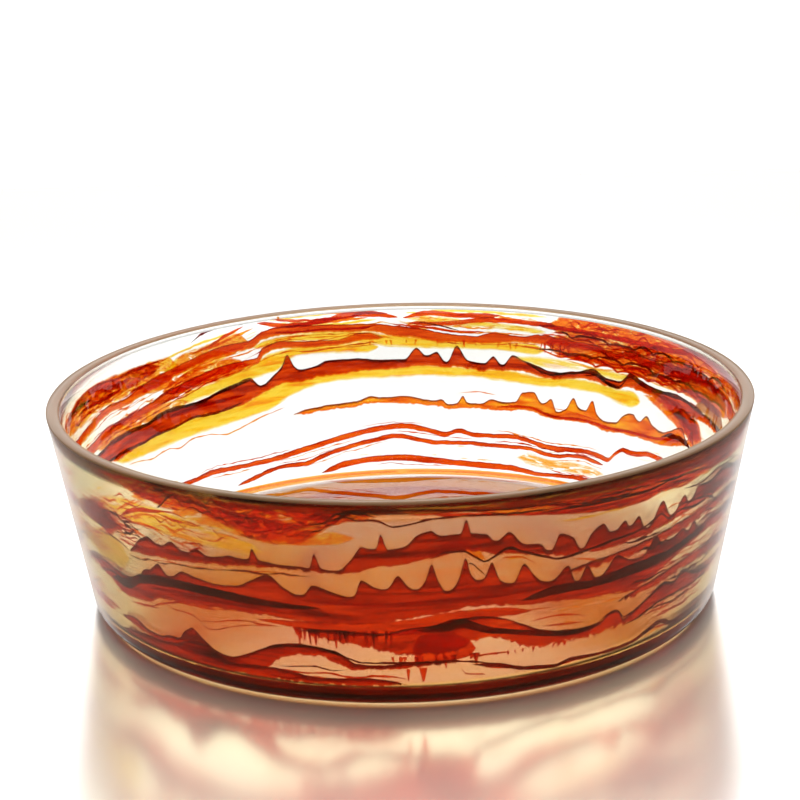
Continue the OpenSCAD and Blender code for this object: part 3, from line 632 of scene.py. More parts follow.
FRONT_LOWER_SWATH_PATH = [(-17, 32, 33.5), (-12, 29, 34), (-8, 27, 33.5), (-4, 24, 33), (0, 22.5, 35),
    (4, 22, 36), (7, 22.5, 38), (10, 26, 38.5), (13, 28, 38), (16, 25, 35.5), (20, 21, 31),
    (22, 20, 28.5), (26, 20.5, 26.5), (30, 20, 25.5), (33, 20, 26), (35, 21, 29.5), (36.3, 20.5, 29),
    (38, 20.5, 24), (41, 20.5, 27), (44, 23, 31), (47, 24.5, 33.5), (50, 24.5, 31.5), (52, 24, 34.8),
    (54, 24, 33), (58, 24.5, 29.5), (63, 25.5, 28.5), (70, 26, 28.5), (78, 26.5, 28)]

FRONT_ARCH_TRAIL_PATH = [(-57, 17, 18.6), (-52, 15, 20), (-48, 14, 17), (-45.5, 13, 17), (-43, 14, 18.5),
    (-40.5, 13, 19), (-39, 13, 23), (-37, 12.5, 25.5), (-35, 12.5, 22), (-33, 12, 18), (-30, 12, 16.5),
    (-27, 12.5, 19), (-24, 13, 22.5), (-20.5, 19, 26), (-17, 21.5, 27), (-14, 21.5, 26),
    (-11, 18.5, 24.5), (-8, 16, 19.5), (-4, 16.5, 19), (0, 17, 20), (5, 18, 19.8), (8.5, 17.8, 19.2)]

FRONT_LOW_THREAD_PATH = [(10.5, 16.6, 18.2), (15, 14.8, 16.6), (20, 11.5, 13.2), (22.5, 10.9, 12.6),
    (25, 10.6, 11.8), (28, 11.6, 13.2), (34, 10.7, 12.2), (40, 10.9, 12.2), (45, 13.2, 15.2),
    (47.5, 14.2, 16.6), (52, 10.9, 13), (57, 10.8, 13), (64, 11.4, 13), (74, 11.2, 12.6),
    (86, 10.6, 11.8), (98, 10, 11)]

UPPER_RED_TRAIL_PATH = [(83, 70, 71.6), (88, 71, 73), (94, 71.5, 74), (99, 71.5, 74.5), (104, 72, 74.8),
    (110, 71.5, 75.2), (115, 71, 74.5), (119, 70, 73), (125, 71, 73.5), (131, 71.5, 74.5),
    (134, 70.5, 72), (140, 71.5, 73.8), (146, 72, 74), (151, 71.5, 75), (156, 71.5, 73.2), (161, 70, 74),
    (165, 69.5, 72), (169, 70, 72.5), (172, 69.5, 73.5), (176, 71.5, 75.5), (181, 73, 77),
    (185, 75.5, 78), (190, 76, 78.5), (196, 77, 79.5), (203, 77.5, 80.3), (207, 77, 79.5),
    (210, 73.5, 76.5), (216, 73, 76), (222, 71, 74), (227, 69, 72), (232, 66.5, 70.5), (238, 65, 68),
    (243, 64, 66), (249, 64.5, 66.5), (256, 62.5, 64.8), (264, 61.5, 64), (273, 63.5, 66),
    (284, 66.5, 68.5)]

SECOND_RED_TRAIL_PATH = [(183, 70.5, 72.8), (187, 71.5, 74), (192, 69.8, 71.5), (198, 70, 72),
    (204, 71.5, 73.8), (207.5, 69, 71.8), (209, 65.5, 67.5), (214, 65, 67.2), (219, 63.8, 66.2),
    (224, 61.5, 64.5), (229, 59, 62.5), (234, 57.5, 60), (240, 56, 58.5), (246, 55.5, 58), (252, 55, 58),
    (258, 53.5, 56.5), (266, 54, 57), (276, 56.5, 59.5), (286, 59, 61.5), (293, 60, 62)]

MAIN_DARK_TRAIL_PATH = [(82, 59, 61), (92, 57, 59.5), (103, 57.5, 60), (108, 57, 60), (112, 56.5, 61.5),
    (117, 57, 62), (122, 57.5, 61), (127, 58.5, 63), (130, 59, 64.5), (132.5, 56.5, 59.5), (136, 57, 60),
    (139, 58, 62.5), (143, 57.5, 60), (148, 55.5, 58), (151, 56, 60), (155, 57.5, 62.5), (157, 57.5, 64),
    (159, 56.5, 59), (161, 57, 62.5), (163, 56, 59), (166, 57, 60.5), (168.5, 57.5, 67), (170.5, 57, 59),
    (172.5, 57.5, 64), (174.5, 58, 62), (176.5, 58, 66), (179, 57, 60.5), (184, 56.5, 60.5),
    (187, 56.5, 62), (190, 56, 62.5), (194.5, 55.5, 62.5), (197, 55, 60), (200, 54, 59), (201.3, 54, 62),
    (202.5, 54.5, 67), (204, 54.5, 62), (206, 53, 58.5), (208.5, 51.5, 54), (211, 49, 59),
    (214, 47, 57.5), (219, 46.5, 55.5), (223, 47, 53), (229, 46.5, 54), (234, 45, 53.5),
    (237.5, 44.5, 51.5), (243, 43.5, 52), (249, 43, 52), (255, 45, 50.5), (262, 44.5, 50),
    (270, 42, 47.5), (280, 39.5, 44), (290, 38, 41.5)]

ORANGE_THREAD_RIGHT_PATH = [(106, 65.5, 66.5), (112, 66.5, 68.5), (119, 66.5, 68.6), (126, 66.3, 68.3),
    (130, 66.8, 69), (133.5, 65.5, 67.2), (138, 66.5, 68.5), (143, 66, 68.5), (148, 67, 68.3)]

AMBER_TRAIL_PATH = [(84, 46.5, 48), (92, 45, 47), (100, 44, 46), (107, 43, 44.5), (108.7, 44, 50),
    (110, 43, 44.5), (112.5, 41, 49), (116, 39, 46), (119, 37.5, 43), (122, 37, 44.5), (124, 37, 47.5),
    (126, 37, 44), (128, 36.5, 46.5), (130.5, 36.5, 44.5), (132, 36, 40.5), (135, 35.5, 39.5),
    (137, 36.5, 42), (138.5, 37, 48), (140, 37, 42.5), (141.5, 37, 43.5), (143, 37, 47.5),
    (144.5, 36.5, 42), (146.5, 36, 39.5), (148, 36.5, 45), (150, 37, 42.5), (152, 38.5, 47.5),
    (154.5, 38.5, 46.5), (155.8, 38, 42), (158, 37.5, 41), (161, 37.5, 42), (163.5, 37.5, 39.5),
    (166, 37.5, 39.8), (167, 37.8, 43), (168.3, 37, 39), (170, 36.8, 38.5), (171.5, 38, 41),
    (173, 38.3, 40.2), (179, 39.5, 42.5), (184, 40, 42.3), (186, 40.2, 43), (189, 39, 41),
    (195, 38.6, 40.4), (199, 38, 39.4), (202.5, 37.6, 38.6)]

BACK_RED_THREAD_UPPER_PATH = [(80, 27, 28.4), (90, 28, 29.8), (100, 29, 31), (110, 29.5, 31.5),
    (121, 30.2, 32), (127.5, 27.6, 29.6), (129, 28.2, 29.8), (131, 25.6, 27.4), (133, 21.4, 23.2),
    (138, 22.8, 24.4), (147, 21.2, 23), (156, 24.2, 25.8), (160, 23.8, 25.4), (164, 23.6, 25.2),
    (168, 25.2, 27), (170.5, 23, 25), (175, 25.6, 27.6), (180, 27.2, 29.4), (185, 26.2, 28.4),
    (192, 23.4, 25.6), (200, 19.8, 22), (210, 17.2, 19), (216, 17.4, 19), (223, 18, 20),
    (228, 17.2, 18.8), (238, 18.5, 20.3), (250, 20, 22), (264, 19, 21.2), (278, 17.5, 19.8),
    (292, 17, 19), (301, 17.2, 18.4)]

BACK_RED_THREAD_MIDDLE_PATH = [(134, 18.6, 20), (140, 20, 21.2), (147, 17.8, 19.2), (153, 19.6, 21),
    (160, 19.2, 20.6), (166, 19.6, 21), (172, 19.2, 20.8), (177, 21, 22.6), (181, 22.6, 24.4),
    (186, 20.8, 22.6), (192, 18.2, 19.8), (197, 15.4, 17), (201, 12.8, 14.4), (206, 13.4, 14.8),
    (211, 11.4, 12.8), (217, 8.6, 10)]

BACK_RED_THREAD_LOWER_PATH = [(102, 9.4, 10.4), (118, 9, 10.4), (130, 9.2, 10.8), (139, 9.4, 11),
    (144, 8.6, 10.2), (150, 7.4, 9.2), (156, 8.4, 10.8), (162, 8.2, 11), (168, 9, 11.4), (174, 10, 12.6),
    (180, 11.4, 14), (186, 11.4, 13.6), (192, 10, 12.4), (195, 8.2, 10.6), (197.5, 7, 8.4)]

YELLOW_VEIL_PATH = [(126, 50, 57.5), (132, 51, 56), (138, 53, 57), (145, 53, 56.5), (151, 51.5, 55.5),
    (158, 52.5, 57), (166, 53.5, 57), (174, 53.5, 58), (182, 53, 57.5), (190, 53.5, 57), (197, 52, 56),
    (203, 48, 55), (208, 43, 52), (214, 41, 48), (222, 40, 47.5), (230, 39.5, 47), (238, 39, 45.5),
    (246, 40, 44.5), (251, 42, 44)]

RED_VEIL_RIGHT_PATH = [(103, 45, 50), (106, 44.6, 55.6), (110, 46.2, 57.6), (114, 48.4, 58.6),
    (118, 51, 58.8), (122, 54, 58.6), (126, 57, 58.4)]

BROWN_VEIL_RIGHT_PATH = [
    (93, 59, 63), (97, 58, 66.5), (101, 59, 68), (105, 61, 68.5), (108, 60, 65), (110, 58, 61)]

BLUSH_VEIL_PATH = [
    (133, 13, 17), (140, 12, 18), (147, 11.5, 17.5), (152, 12.5, 19), (155, 14, 17)]

OLIVE_VEIL_LEFT_PATH = [
    (-63, 44, 50), (-60, 41.5, 54), (-56, 41.5, 56), (-52, 42, 55.5), (-49.5, 44, 52)]

# ---- the colour, part by part ----
VEIL = {"offset": -0.0004, "thick": 0.0005}
UNDER = {"offset": 0.00025, "thick": 0.0004}      # a sheet behind the threads of its part
INNER = {"offset": -0.0009, "thick": 0.0005}      # colour on the gather, behind a trail
OVER = {"offset": 0.0014, "thick": 0.0005}        # lines on the outer face of a trail
OVER_THIN = {"offset": 0.0014, "thick": 0.0004}


def threads(piece, material, width, seed, runs, **kwargs):
    for i, run in enumerate(runs):
        piece.thread(material, run, width, seed=seed + i * 1.37, **kwargs)


def filaments(piece, seed, count, span, heights, palette, length=(5, 16), width=(0.4, 1.0), bend=2.0):
    """Short seeded filaments inside a mottled area. heights gives the area's low and high mm at a bearing."""
    rng = random.Random(seed)
    for i in range(count):
        run = rng.uniform(*length)
        start = rng.uniform(span[0], max(span[0], span[1] - run))
        at = np.linspace(start, min(start + run, span[1]), 5)
        share = rng.uniform(0.06, 0.94)
        points = []
        for b in at:
            low, high = heights(b)
            drift = rng.uniform(-bend, bend) / 2
            points.append((b, min(max(low + share * (high - low) + drift, low + 0.4), high - 0.4)))
        material = rng.choice(palette)
        piece.thread(material, points, rng.uniform(*width), seed=seed + i, wander=0.8,
                     offset=rng.uniform(0.0003, 0.0012), thick=0.0005)


def companions(piece, seed, path, palette, above=2, below=2, gap=1.6, length=(14, 40), width=(0.25, 0.6)):
    """Fine threads drawn out beside a trail, over its top edge and under its lower one."""
    rng = random.Random(seed)
    low = [(p[0], p[1]) for p in path]
    high = [(p[0], p[2]) for p in path]
    for i in range(above + below):
        over = i < above
        first, last = path[0][0], path[-1][0]
        start = first
        away = gap * (1 + (i if over else i - above) * 0.9)
        while start < last - 6:
            run = min(rng.uniform(*length), last - start)
            at = np.linspace(start, start + run, max(5, int(run / 2.5)))
            line = smooth_curve(high if over else low, at)
            line = np.convolve(np.pad(line, 1, mode="edge"), (0.25, 0.5, 0.25), mode="valid")
            side = 1 if over else -1
            points = [(b, z + side * (away + rng.uniform(-0.5, 0.5))) for b, z in zip(at, line)]
            piece.thread(rng.choice(palette), points, rng.uniform(*width), seed=seed + i * 11 + start,
                wander=0.5)
            start += run + rng.uniform(3, 16)


def drips(piece, material, seed, bearings, top, length, width=(0.25, 0.6), count=12):
    rng = random.Random(seed)
    for _ in range(count):
        b = rng.uniform(*bearings)
        z = top(b) if callable(top) else top
        piece.drip(material, b, z, z - rng.uniform(*length), rng.uniform(*width),
            lean=rng.uniform(-0.3, 0.3))


def festoons(piece, palette, seed, bearings, heights, rise=1.8, pitch=6.5):
    """Thin scalloped lines, one above another, with their cusps down."""
    rng = random.Random(seed)
    for height in heights:
        b, points = bearings[0] + rng.uniform(0, 5), []
        while b < bearings[1]:
            run, up = pitch * rng.uniform(0.6, 1.4), rise * rng.uniform(0.4, 1.4)
            points += [(b + run * t,
                height + up * math.sin(math.pi * t) ** 0.6) for t in (0.0, 0.12, 0.3, 0.5, 0.7, 0.88)]
            b += run
        piece.thread(rng.choice(palette), points, rng.uniform(0.6, 1.3), seed=seed + height, wander=0.4)


def between(path):
    """Low and high of an outline at a bearing."""
    low, high = [(p[0], p[1]) for p in path], [(p[0], p[2]) for p in path]
    return lambda b: (float(smooth_curve(low, [b])[0]), float(smooth_curve(high, [b])[0]))


HOT = [red_thread, red_thread, dark_thread, orange_thread, yellow_thread, pale_thread]
WARM = [orange_thread, red_thread, yellow_thread, orange_thread]
REDS = [red_thread, dark_thread, orange_thread]
FIRE = [red_thread, orange_thread, orange_thread, yellow_thread, red_thread, pale_thread]

# rim mottle at the front left
p = Piece()
p.band(mottle_hot, RIM_MOTTLE_FRONT_PATH, seed=1, **UNDER)
p.band(mottle_hot, [(-30, 80, 82), (-26, 77, 85), (-22, 72, 85.5), (-18, 74, 85.5), (-13, 78, 85.5),
    (-9, 80.5, 84)], seed=2)
p.band(mottle_gold, [(-45, 76, 80), (-40, 77.5, 82.5), (-34, 74, 81), (-28, 72, 80), (-20, 68.5, 77),
    (-12, 69.5, 76.5), (-7, 71, 76)], seed=3)
filaments(p, 11, 110, (-46, -3), between(RIM_MOTTLE_FRONT_PATH), FIRE + [dark_thread], length=(2.5, 8),
    bend=3.4, width=(0.5, 1.2))
threads(p, red_thread, 1.1, 20, [[(-53, 84.2), (-49, 84.2), (-45, 85.2), (-38, 85.3)],
    [(-30, 84.5), (-24, 83.2), (-17, 84.4), (-9, 85.2)]])
threads(p, dark_thread, 0.9, 30, [[(-39.5, 76), (-38.2, 78.5), (-37, 81.5), (-35.5, 83.5)],
    [(-36, 84.5), (-34.8, 82), (-34, 78.8)], [(-31, 84.2), (-29.8, 80.5), (-28.8, 77.2)],
    [(-23.5, 80), (-22.5, 76), (-22, 72)]], taper=1.0)
p.build("rim_mottle_front")

# red bands under the rim at the front right
p = Piece()
p.band(striped_rim, RIM_RED_RIGHT_PATH[:14], seed=4, **UNDER)
p.band(mottle_hot, RIM_RED_RIGHT_PATH[11:], seed=44)
threads(p, dark_thread, 0.8, 40, [[(-12, 84.6), (-4, 84.4), (2, 84.6), (9, 83.2), (16, 82.2), (24, 82)],
    [(-10, 77.5), (-9.2, 81), (-8, 82), (-6.6, 80.8), (-4.5, 81), (-3, 80), (-1.6, 78), (1, 79),
    (4, 80.8), (9, 81.2), (15, 80.4), (22, 80)], [(20, 79), (27, 78.8), (33, 78.2), (38, 78), (44, 79.4),
    (50, 79), (56, 77)], [(48, 73), (53, 72.2), (58, 74), (64, 73.5), (70, 71)],
    [(60, 83), (66, 81.6), (72, 79.5)]])
threads(p, red_thread, 1.3, 50, [[(4, 82.4), (12, 81), (20, 78.8), (28, 77), (36, 76.4), (44, 77),
    (52, 75.4)], [(24, 84.2), (34, 83.6), (46, 82.6), (58, 81)]])
threads(p, yellow_thread, 1.3, 60, [[(-1, 85.3), (6, 84.8), (13, 84.2), (21, 83.8)],
    [(19, 81.6), (23, 81), (26, 82)], [(22, 74.8), (27, 73.6), (33, 74), (38, 74.4)],
    [(44, 77.8), (46.5, 77.2), (49, 78)]])
threads(p, pale_thread, 1.8, 70, [[(31, 82.4), (34, 81.4), (37, 80)], [(40, 81.4), (45, 81), (50, 80.2)],
    [(52, 76), (56, 75.2)]])
filaments(p, 12, 40, (4, 76), between(RIM_RED_RIGHT_PATH), HOT, length=(6, 18), bend=1.0)
p.build("rim_red_right")

# mottle and stripes under the rim at the back
p = Piece()
p.band(mottle_fire, RIM_MOTTLE_BACK_PATH[:13], seed=5, **UNDER)
p.band(mottle_fire, [(92, 66.5, 70), (100, 65, 77), (110, 64.5, 78), (118, 64, 78), (126, 65, 78),
    (134, 65.5, 78), (142, 66, 78), (150, 68, 77)], seed=7, **INNER)
filaments(p, 13, 120, (84, 152), lambda b: (73.5, 85.5), FIRE, length=(3, 11), bend=3.0)
filaments(p, 14, 50, (96, 134), lambda b: (64.5, 76), WARM, length=(5, 14), bend=2.0)
filaments(p, 15, 26, (150, 181), lambda b: (75.5, 83.5), FIRE, length=(5, 14), bend=1.4)
threads(p, red_thread, 2.2, 80, [[(94, 81.5), (102, 82), (112, 82.5), (122, 80), (132, 79.5), (142, 79.5),
    (152, 80)], [(148, 80.4), (155, 80.6), (162, 80.6), (168, 79), (172, 78), (178, 78.6)],
    [(160, 82.6), (167, 82), (174, 82.8), (179, 81)], [(180, 81.2), (184, 82.6), (189, 83.4), (194, 81.8),
    (199, 80.8), (204, 82), (208, 84)]])
threads(p, red_thread, 1.2, 90, [[(163, 75), (168, 74.4), (173, 76), (178, 77.4), (181, 78)],
    [(206, 85.2), (201, 83), (196, 82.2), (190, 82), (186, 84), (182, 83)][::-1],
    [(211, 83.5), (215, 81), (219, 78), (224, 76)], [(184, 78), (188, 77), (194, 77.6), (200, 77.8),
    (205, 78.8)]])
threads(p, dark_thread, 0.8, 100, [[(211, 86), (216, 85), (220, 83.8), (223, 81)],
    [(176, 79), (172, 77.4), (168, 75)][::-1]])
threads(p, yellow_thread, 1.4, 110, [[(181, 84.4), (187, 85.4), (194, 84.6), (201, 84.2), (207, 85)],
    [(150, 83.6), (158, 83.6), (166, 84), (174, 84)], [(184, 80.6), (192, 79.8), (200, 79.8)],
    [(212, 81.6), (218, 80.6), (226, 78.6), (231, 77)]])
threads(p, orange_thread, 1.1, 120, [[(182, 85.6), (190, 84.4), (198, 85.4), (206, 86)],
    [(186, 81.6), (193, 81), (202, 81)], [(209, 82), (214, 79.4), (220, 76.6)]])
p.band(haze, [(150, 75, 80), (160, 76.5, 81), (170, 77, 82.5), (178, 79, 84)], seed=8, **INNER)
p.build("rim_mottle_back")

# amber mottle on the left inside
p = Piece()
p.band(mottle_gold, [(226, 71, 73), (229, 68.5, 78.5), (234, 68, 78.8), (240, 67.5, 78.6), (246, 67, 79),
    (253, 68, 79.4), (260, 67, 79), (266, 68, 77.5), (276, 71, 76.5)], seed=9, **UNDER)
p.band(mottle_hot, LEFT_AMBER_MOTTLE_PATH, seed=10)
filaments(p, 16, 60, (228, 276), lambda b: (66.5, 78.5), FIRE, length=(4, 13), bend=2.4)
threads(p, red_thread, 1.3, 130, [[(231, 77.4), (238, 77.2), (244, 76.8), (250, 78.4), (256, 78.4),
    (264, 76.4), (274, 76.2)], [(243, 71.6), (249, 71), (256, 72.4), (264, 72.6)]])
threads(p, dark_thread, 1.4, 140, [[(254, 74.2), (258, 75), (263, 75.6), (269, 75.2)]])
p.build("left_amber_mottle")

# mottle at the left of the front
p = Piece()
p.band(red_veil, LEFT_RED_MOTTLE_PATH, seed=11, **UNDER)
p.band(brown, [(-66, 60.5, 62), (-62, 57.5, 66), (-57, 57, 68.5), (-53, 58, 67), (-50, 60, 64)], seed=12)
filaments(p, 17, 34, (-62, -42), lambda b: (54.5, 67.5), [red_thread, dark_thread, orange_thread,
    red_thread], length=(3, 9), bend=3.0, width=(0.5, 1.1))
threads(p, dark_thread, 0.8, 150, [[(-56, 57), (-53, 55.4), (-50.5, 54), (-48.6, 52)]])
threads(p, orange_thread, 1.2, 160, [[(-52, 61), (-49, 63.5), (-46, 62.6), (-43, 60.6)],
    [(-47, 66.4), (-43, 67), (-39, 66.2)], [(-50, 69), (-47, 73), (-44, 77)]])
threads(p, pale_thread, 2.2, 170, [[(-45, 54), (-41.5, 55.4), (-38, 52.6)],
    [(-40, 65.5), (-36, 66.4), (-31, 65.6)]])
p.band(olive, [(-82, 44, 47), (-76, 42, 52), (-70, 44, 56), (-63, 43, 53), (-56, 44, 50)], seed=45, **INNER)
p.band(haze, [(-56, 68, 71), (-49, 66, 76), (-42, 65, 77), (-35, 64, 75), (-28, 63, 72), (-21, 62, 68)],
    seed=46, **INNER)
filaments(p, 28, 46, (-84, -50), lambda b: (18, 80), [red_thread, orange_thread, dark_thread, red_thread],
    length=(4, 13), bend=2.6, width=(0.4, 1.1))
filaments(p, 29, 60, (-58, -24), lambda b: (60, 78), FIRE, length=(2.5, 8), bend=3.2, width=(0.4, 1.0))
p.build("left_red_mottle")

p = Piece()
p.band(red_thread, FRONT_LEFT_THREAD_PATH, seed=13)
threads(p, red_thread, 0.8, 180, [[(-42, 74.2), (-39, 75.2), (-36.5, 75.6), (-34, 74.6)]])
threads(p, orange_thread, 0.9, 190, [[(-50, 66), (-46.5, 68.2), (-43, 71.4), (-39, 73)]])
p.build("front_left_thread")

# upper trail of the front, with the contours inside it
p = Piece()
p.band(front_red, FRONT_UPPER_TRAIL_PATH, seed=14, drips=1.6, step=0.2)
p.band(orange_thread, [(3.5, 64.6, 66.5), (6, 66.4, 70.5), (8, 67, 71.8), (10, 64, 69), (12, 61.4, 63.8)],
    seed=15, offset=0.0013, thick=0.0004, taper=1.0)
threads(p, dark_thread, 1.2, 200, [[(4, 64.8), (6.5, 67), (8.5, 66.8), (10.4, 64), (12, 61.6),
    (13.4, 63.4), (15.4, 66.4), (17.6, 64), (21, 60.6), (24, 58.4), (28, 59.4), (33, 61), (38, 61.8),
    (41, 64), (43, 66), (45.2, 62.6), (48, 64.2), (52, 62.8), (56, 63)], [(8.8, 59), (9.6, 61.6),
    (11, 58.6), (12.2, 55.4)], [(48, 64), (51, 66), (54, 65), (58, 62), (60.5, 58)],
    [(52, 71), (56, 70.4), (60, 72), (64, 71), (69, 67.6)], [(57.2, 60), (58, 64), (59.6, 68)]],
    offset=0.0015, thick=0.0005)
threads(p, orange_thread, 0.9, 210, [[(13, 58.6), (15, 62.4), (17.6, 61.6), (20, 58)],
    [(43.8, 66), (45.6, 68.2), (48, 67)], [(26, 57.4), (29, 55.4), (32, 53)],
    [(5, 70), (7, 73), (9.6, 71.4), (12, 68)]], **OVER)
threads(p, yellow_thread, 2.6, 220, [[(15, 60.8), (16.2, 61.6), (17.4, 60.6)],
    [(41, 59.6), (44, 61), (47, 60.4)]])
threads(p, pale_thread, 1.6, 225, [[(5, 68), (7, 69.6), (9, 69)], [(55.6, 63), (57, 60), (58.6, 58)]],
    **OVER_THIN)
companions(p, 230, FRONT_UPPER_TRAIL_PATH[:22], REDS, above=0, below=2, gap=0.9)
p.build("front_upper_trail")

# the broad band round the front
p = Piece()
p.band(front_red, FRONT_MAIN_BAND_PATH, seed=16, drips=1.6, step=0.2)
p.band(dark_thread, [(-57, 34, 36), (-52, 33.5, 38), (-47, 39, 43), (-42, 41, 45.6), (-35, 42.5, 46.4),
    (-28, 42, 46), (-20, 42, 44.4), (-13, 42.4, 44)], seed=17, **OVER)
p.band(dark_thread, [(18, 42, 44), (24, 43, 47), (31, 42.6, 46), (38, 43, 48), (45, 43.6, 48),
    (52, 47, 50), (58, 48.6, 51)], seed=18, **OVER)
threads(p, red_thread, 1.4, 240, [[(-46, 38), (-38, 40.6), (-30, 41), (-22, 40)],
    [(-14, 46), (-4, 45.4), (6, 46.6), (16, 46)]], **OVER_THIN)
threads(p, orange_thread, 0.5, 250, [[(-5, 43.6), (0, 43.2), (3.4, 43.4)],
    [(4, 42.4), (11, 40.8), (17, 39), (24, 37.6)], [(-37, 37.6), (-32, 37), (-27, 38)]], offset=0.0015,
    thick=0.0004)
threads(p, red_thread, 0.55, 260, [[(-43, 34), (-40, 31.8), (-37, 32), (-35, 29.8), (-33.5, 27),
    (-31.6, 27.8), (-29, 30), (-26, 32), (-22, 33.2)], [(-35, 29.6), (-31, 31.6), (-27, 33.8),
    (-23, 34.4)]])
threads(p, red_thread, 1.2, 270, [[(-26, 34.6), (-23.4, 33.4), (-20.4, 33.6)],
    [(-46, 29.6), (-42, 33.4), (-38, 36), (-31, 36.4)], [(-52, 27.4), (-48, 28.6), (-44, 30)]])
threads(p, pale_thread, 1.4, 280, [[(-38, 34.6), (-36, 35.4), (-34, 34.6)],
    [(22, 36), (30, 35.4), (38, 34)]])
p.band(red_thread, [(-24, 35, 36), (-16, 33.4, 37), (-8, 31.6, 37.5), (0, 32, 38.5), (6, 34, 41),
    (12, 37, 41.4), (20, 36.6, 38.6)], seed=19, **UNDER)
p.band(swath_red, [(24, 50, 51.5), (31, 50, 54), (40, 51, 56), (49, 53, 58.5), (58, 55, 60), (67, 54, 60),
    (76, 52, 56)], seed=47, **INNER)
filaments(p, 30, 70, (34, 82), lambda b: (14, 74), REDS + [red_thread], length=(5, 16), bend=2.2,
    width=(0.4, 1.2))
drips(p, red_thread, 21, (-18, -1), 34.0, (3.0, 8.0), width=(0.35, 0.8), count=30)
p.build("front_main_band")

# the streaked swath under it
p = Piece()
p.band(swath_red, FRONT_LOWER_SWATH_PATH, seed=20)
p.band(red_thread, [(1, 20.4, 30), (3, 19.8, 32), (7, 20, 31.6), (9.6, 20.6, 29), (11, 23, 26)], seed=21,
    taper=0.8, **UNDER)
p.band(dark_thread, [(1.5, 33, 35), (6, 33, 36.4), (8.5, 34, 38), (12, 31, 34.4), (15, 29.6, 32),
    (19, 27.4, 30), (23, 25, 27.4), (28, 23.6, 25.6), (33, 24, 26)], seed=22, **OVER)
threads(p, dark_thread, 1.1, 290, [[(32, 25.6), (34, 28.4), (36, 28.6), (38, 24.8), (41, 27), (44, 30.2),
    (47, 33), (50, 31.4), (52, 34.6), (55, 31.8), (59, 29.4), (64, 28)], [(38, 21), (42, 22.6),
    (46, 25.4), (51, 25.8), (57, 25.4), (64, 26)]], **OVER)
threads(p, pale_thread, 2.0, 300, [[(45, 28), (48, 30.6), (52, 29), (57, 28)],
    [(24.6, 28), (26, 30), (28, 29)], [(35.4, 24), (36, 27)]], **OVER_THIN)
threads(p, red_thread, 0.9, 310, [[(20, 33), (24, 33.6), (28, 32), (30, 30)],
    [(22, 30), (26, 29), (29.6, 28)], [(10, 20.6), (13, 21.4), (17, 20.8)]])
p.band(swath_red, [(36, 31, 33), (44, 32, 37), (53, 34.5, 40), (62, 34, 40), (71, 32.5, 38),
    (78, 32, 35)], seed=48, **INNER)
drips(p, red_thread, 22, (-3, 12), 22.5, (1.5, 6.0), width=(0.35, 0.9), count=16)
drips(p, red_thread, 23, (36, 56), 24.5, (1.5, 4.5), count=8)
drips(p, red_thread, 24, (12, 40), 21.5, (0.6, 2.2), count=18)
p.drip(red_thread, 2.6, 17.5, 11.5, 1.3)
p.drip(red_thread, 0.2, 17.0, 12.0, 0.6)
p.build("front_lower_swath")

# arch low at the front left, and the colour around its feet
p = Piece()
p.band(front_red, FRONT_ARCH_TRAIL_PATH, seed=23)
p.band(front_red, [(-58, 10, 12), (-50, 9.4, 14.4), (-44, 9, 15), (-36, 9, 20), (-30, 9, 14),
    (-25, 9, 15), (-21, 9, 14.6), (-14, 9, 12.4), (-6, 9, 13), (0, 9, 11)], seed=24, **UNDER)
threads(p, dark_thread, 0.55, 320, [[(-21, 16), (-18, 16.6), (-15, 17.4), (-12, 16), (-9.6, 16.6)],
    [(-44.6, 16.8), (-42.5, 18.4), (-40.6, 17.2)]])
threads(p, red_thread, 0.8, 330, [[(-21, 14.8), (-17, 14), (-13, 14.8), (-9, 13.4), (-4, 14.2),
    (0, 12.8)], [(-24, 12), (-20, 10.8), (-16, 12.6), (-11, 12)], [(-10, 13), (-6, 11.6), (-1, 11.6)],
    [(-57, 17.4), (-51, 17.4), (-46.6, 15.8)]])
threads(p, dark_thread, 1.0, 340, [[(-24, 22), (-20, 25.2), (-15, 26), (-10.6, 23.4), (-7, 20),
    (-1, 20.2), (6, 20), (11, 18.6), (14, 16.8)]], **OVER)
threads(p, red_thread, 0.6, 350, [[(8.4, 18.6), (8.9, 15.4), (9.6, 13.6), (11, 13), (12.6, 12.4),
    (12.9, 10.6)]], taper=0.6, step=0.25, wander=0.1)
p.build("front_arch_trail")

p = Piece()
p.band(dark_thread, FRONT_LOW_THREAD_PATH, seed=25)
threads(p, red_thread, 0.8, 360, [[(12, 16), (18, 13.4), (23, 11), (30, 11.6), (40, 11), (46, 13.6),
    (53, 11)], [(52, 12.4), (60, 13), (68, 12)]])
threads(p, pale_thread, 1.4, 365, [[(42, 10.4), (47, 12.6), (51, 10)]])
p.build("front_low_thread")

# inside of the back wall
p = Piece()
p.band(bright_red, UPPER_RED_TRAIL_PATH, seed=26, grow=0.7)
p.band(mottle_fire, [(84, 67, 69), (92, 68, 76), (100, 68.5, 77.5), (108, 69, 77), (116, 69, 76.5),
    (121, 70, 74)], seed=27, **UNDER)
p.band(mottle_gold, [(209, 73, 75), (213, 72, 82), (219, 69, 80), (226, 66, 78), (232, 64, 72),
    (238, 64.5, 69)], seed=28, **INNER)
p.band(yellow, [(150, 65, 72), (160, 66, 72), (170, 66, 72), (180, 67, 74), (190, 70.5, 77),
    (203, 73, 78), (210, 70, 76)], seed=29, **INNER)
companions(p, 370, UPPER_RED_TRAIL_PATH, [red_thread, orange_thread, yellow_thread], above=2, below=2,
    gap=1.2)
festoons(p, [red_thread, red_thread, orange_thread, dark_thread], 27, (95, 146),
    [76, 74.2, 72, 69.8, 67.8, 65.8, 64])
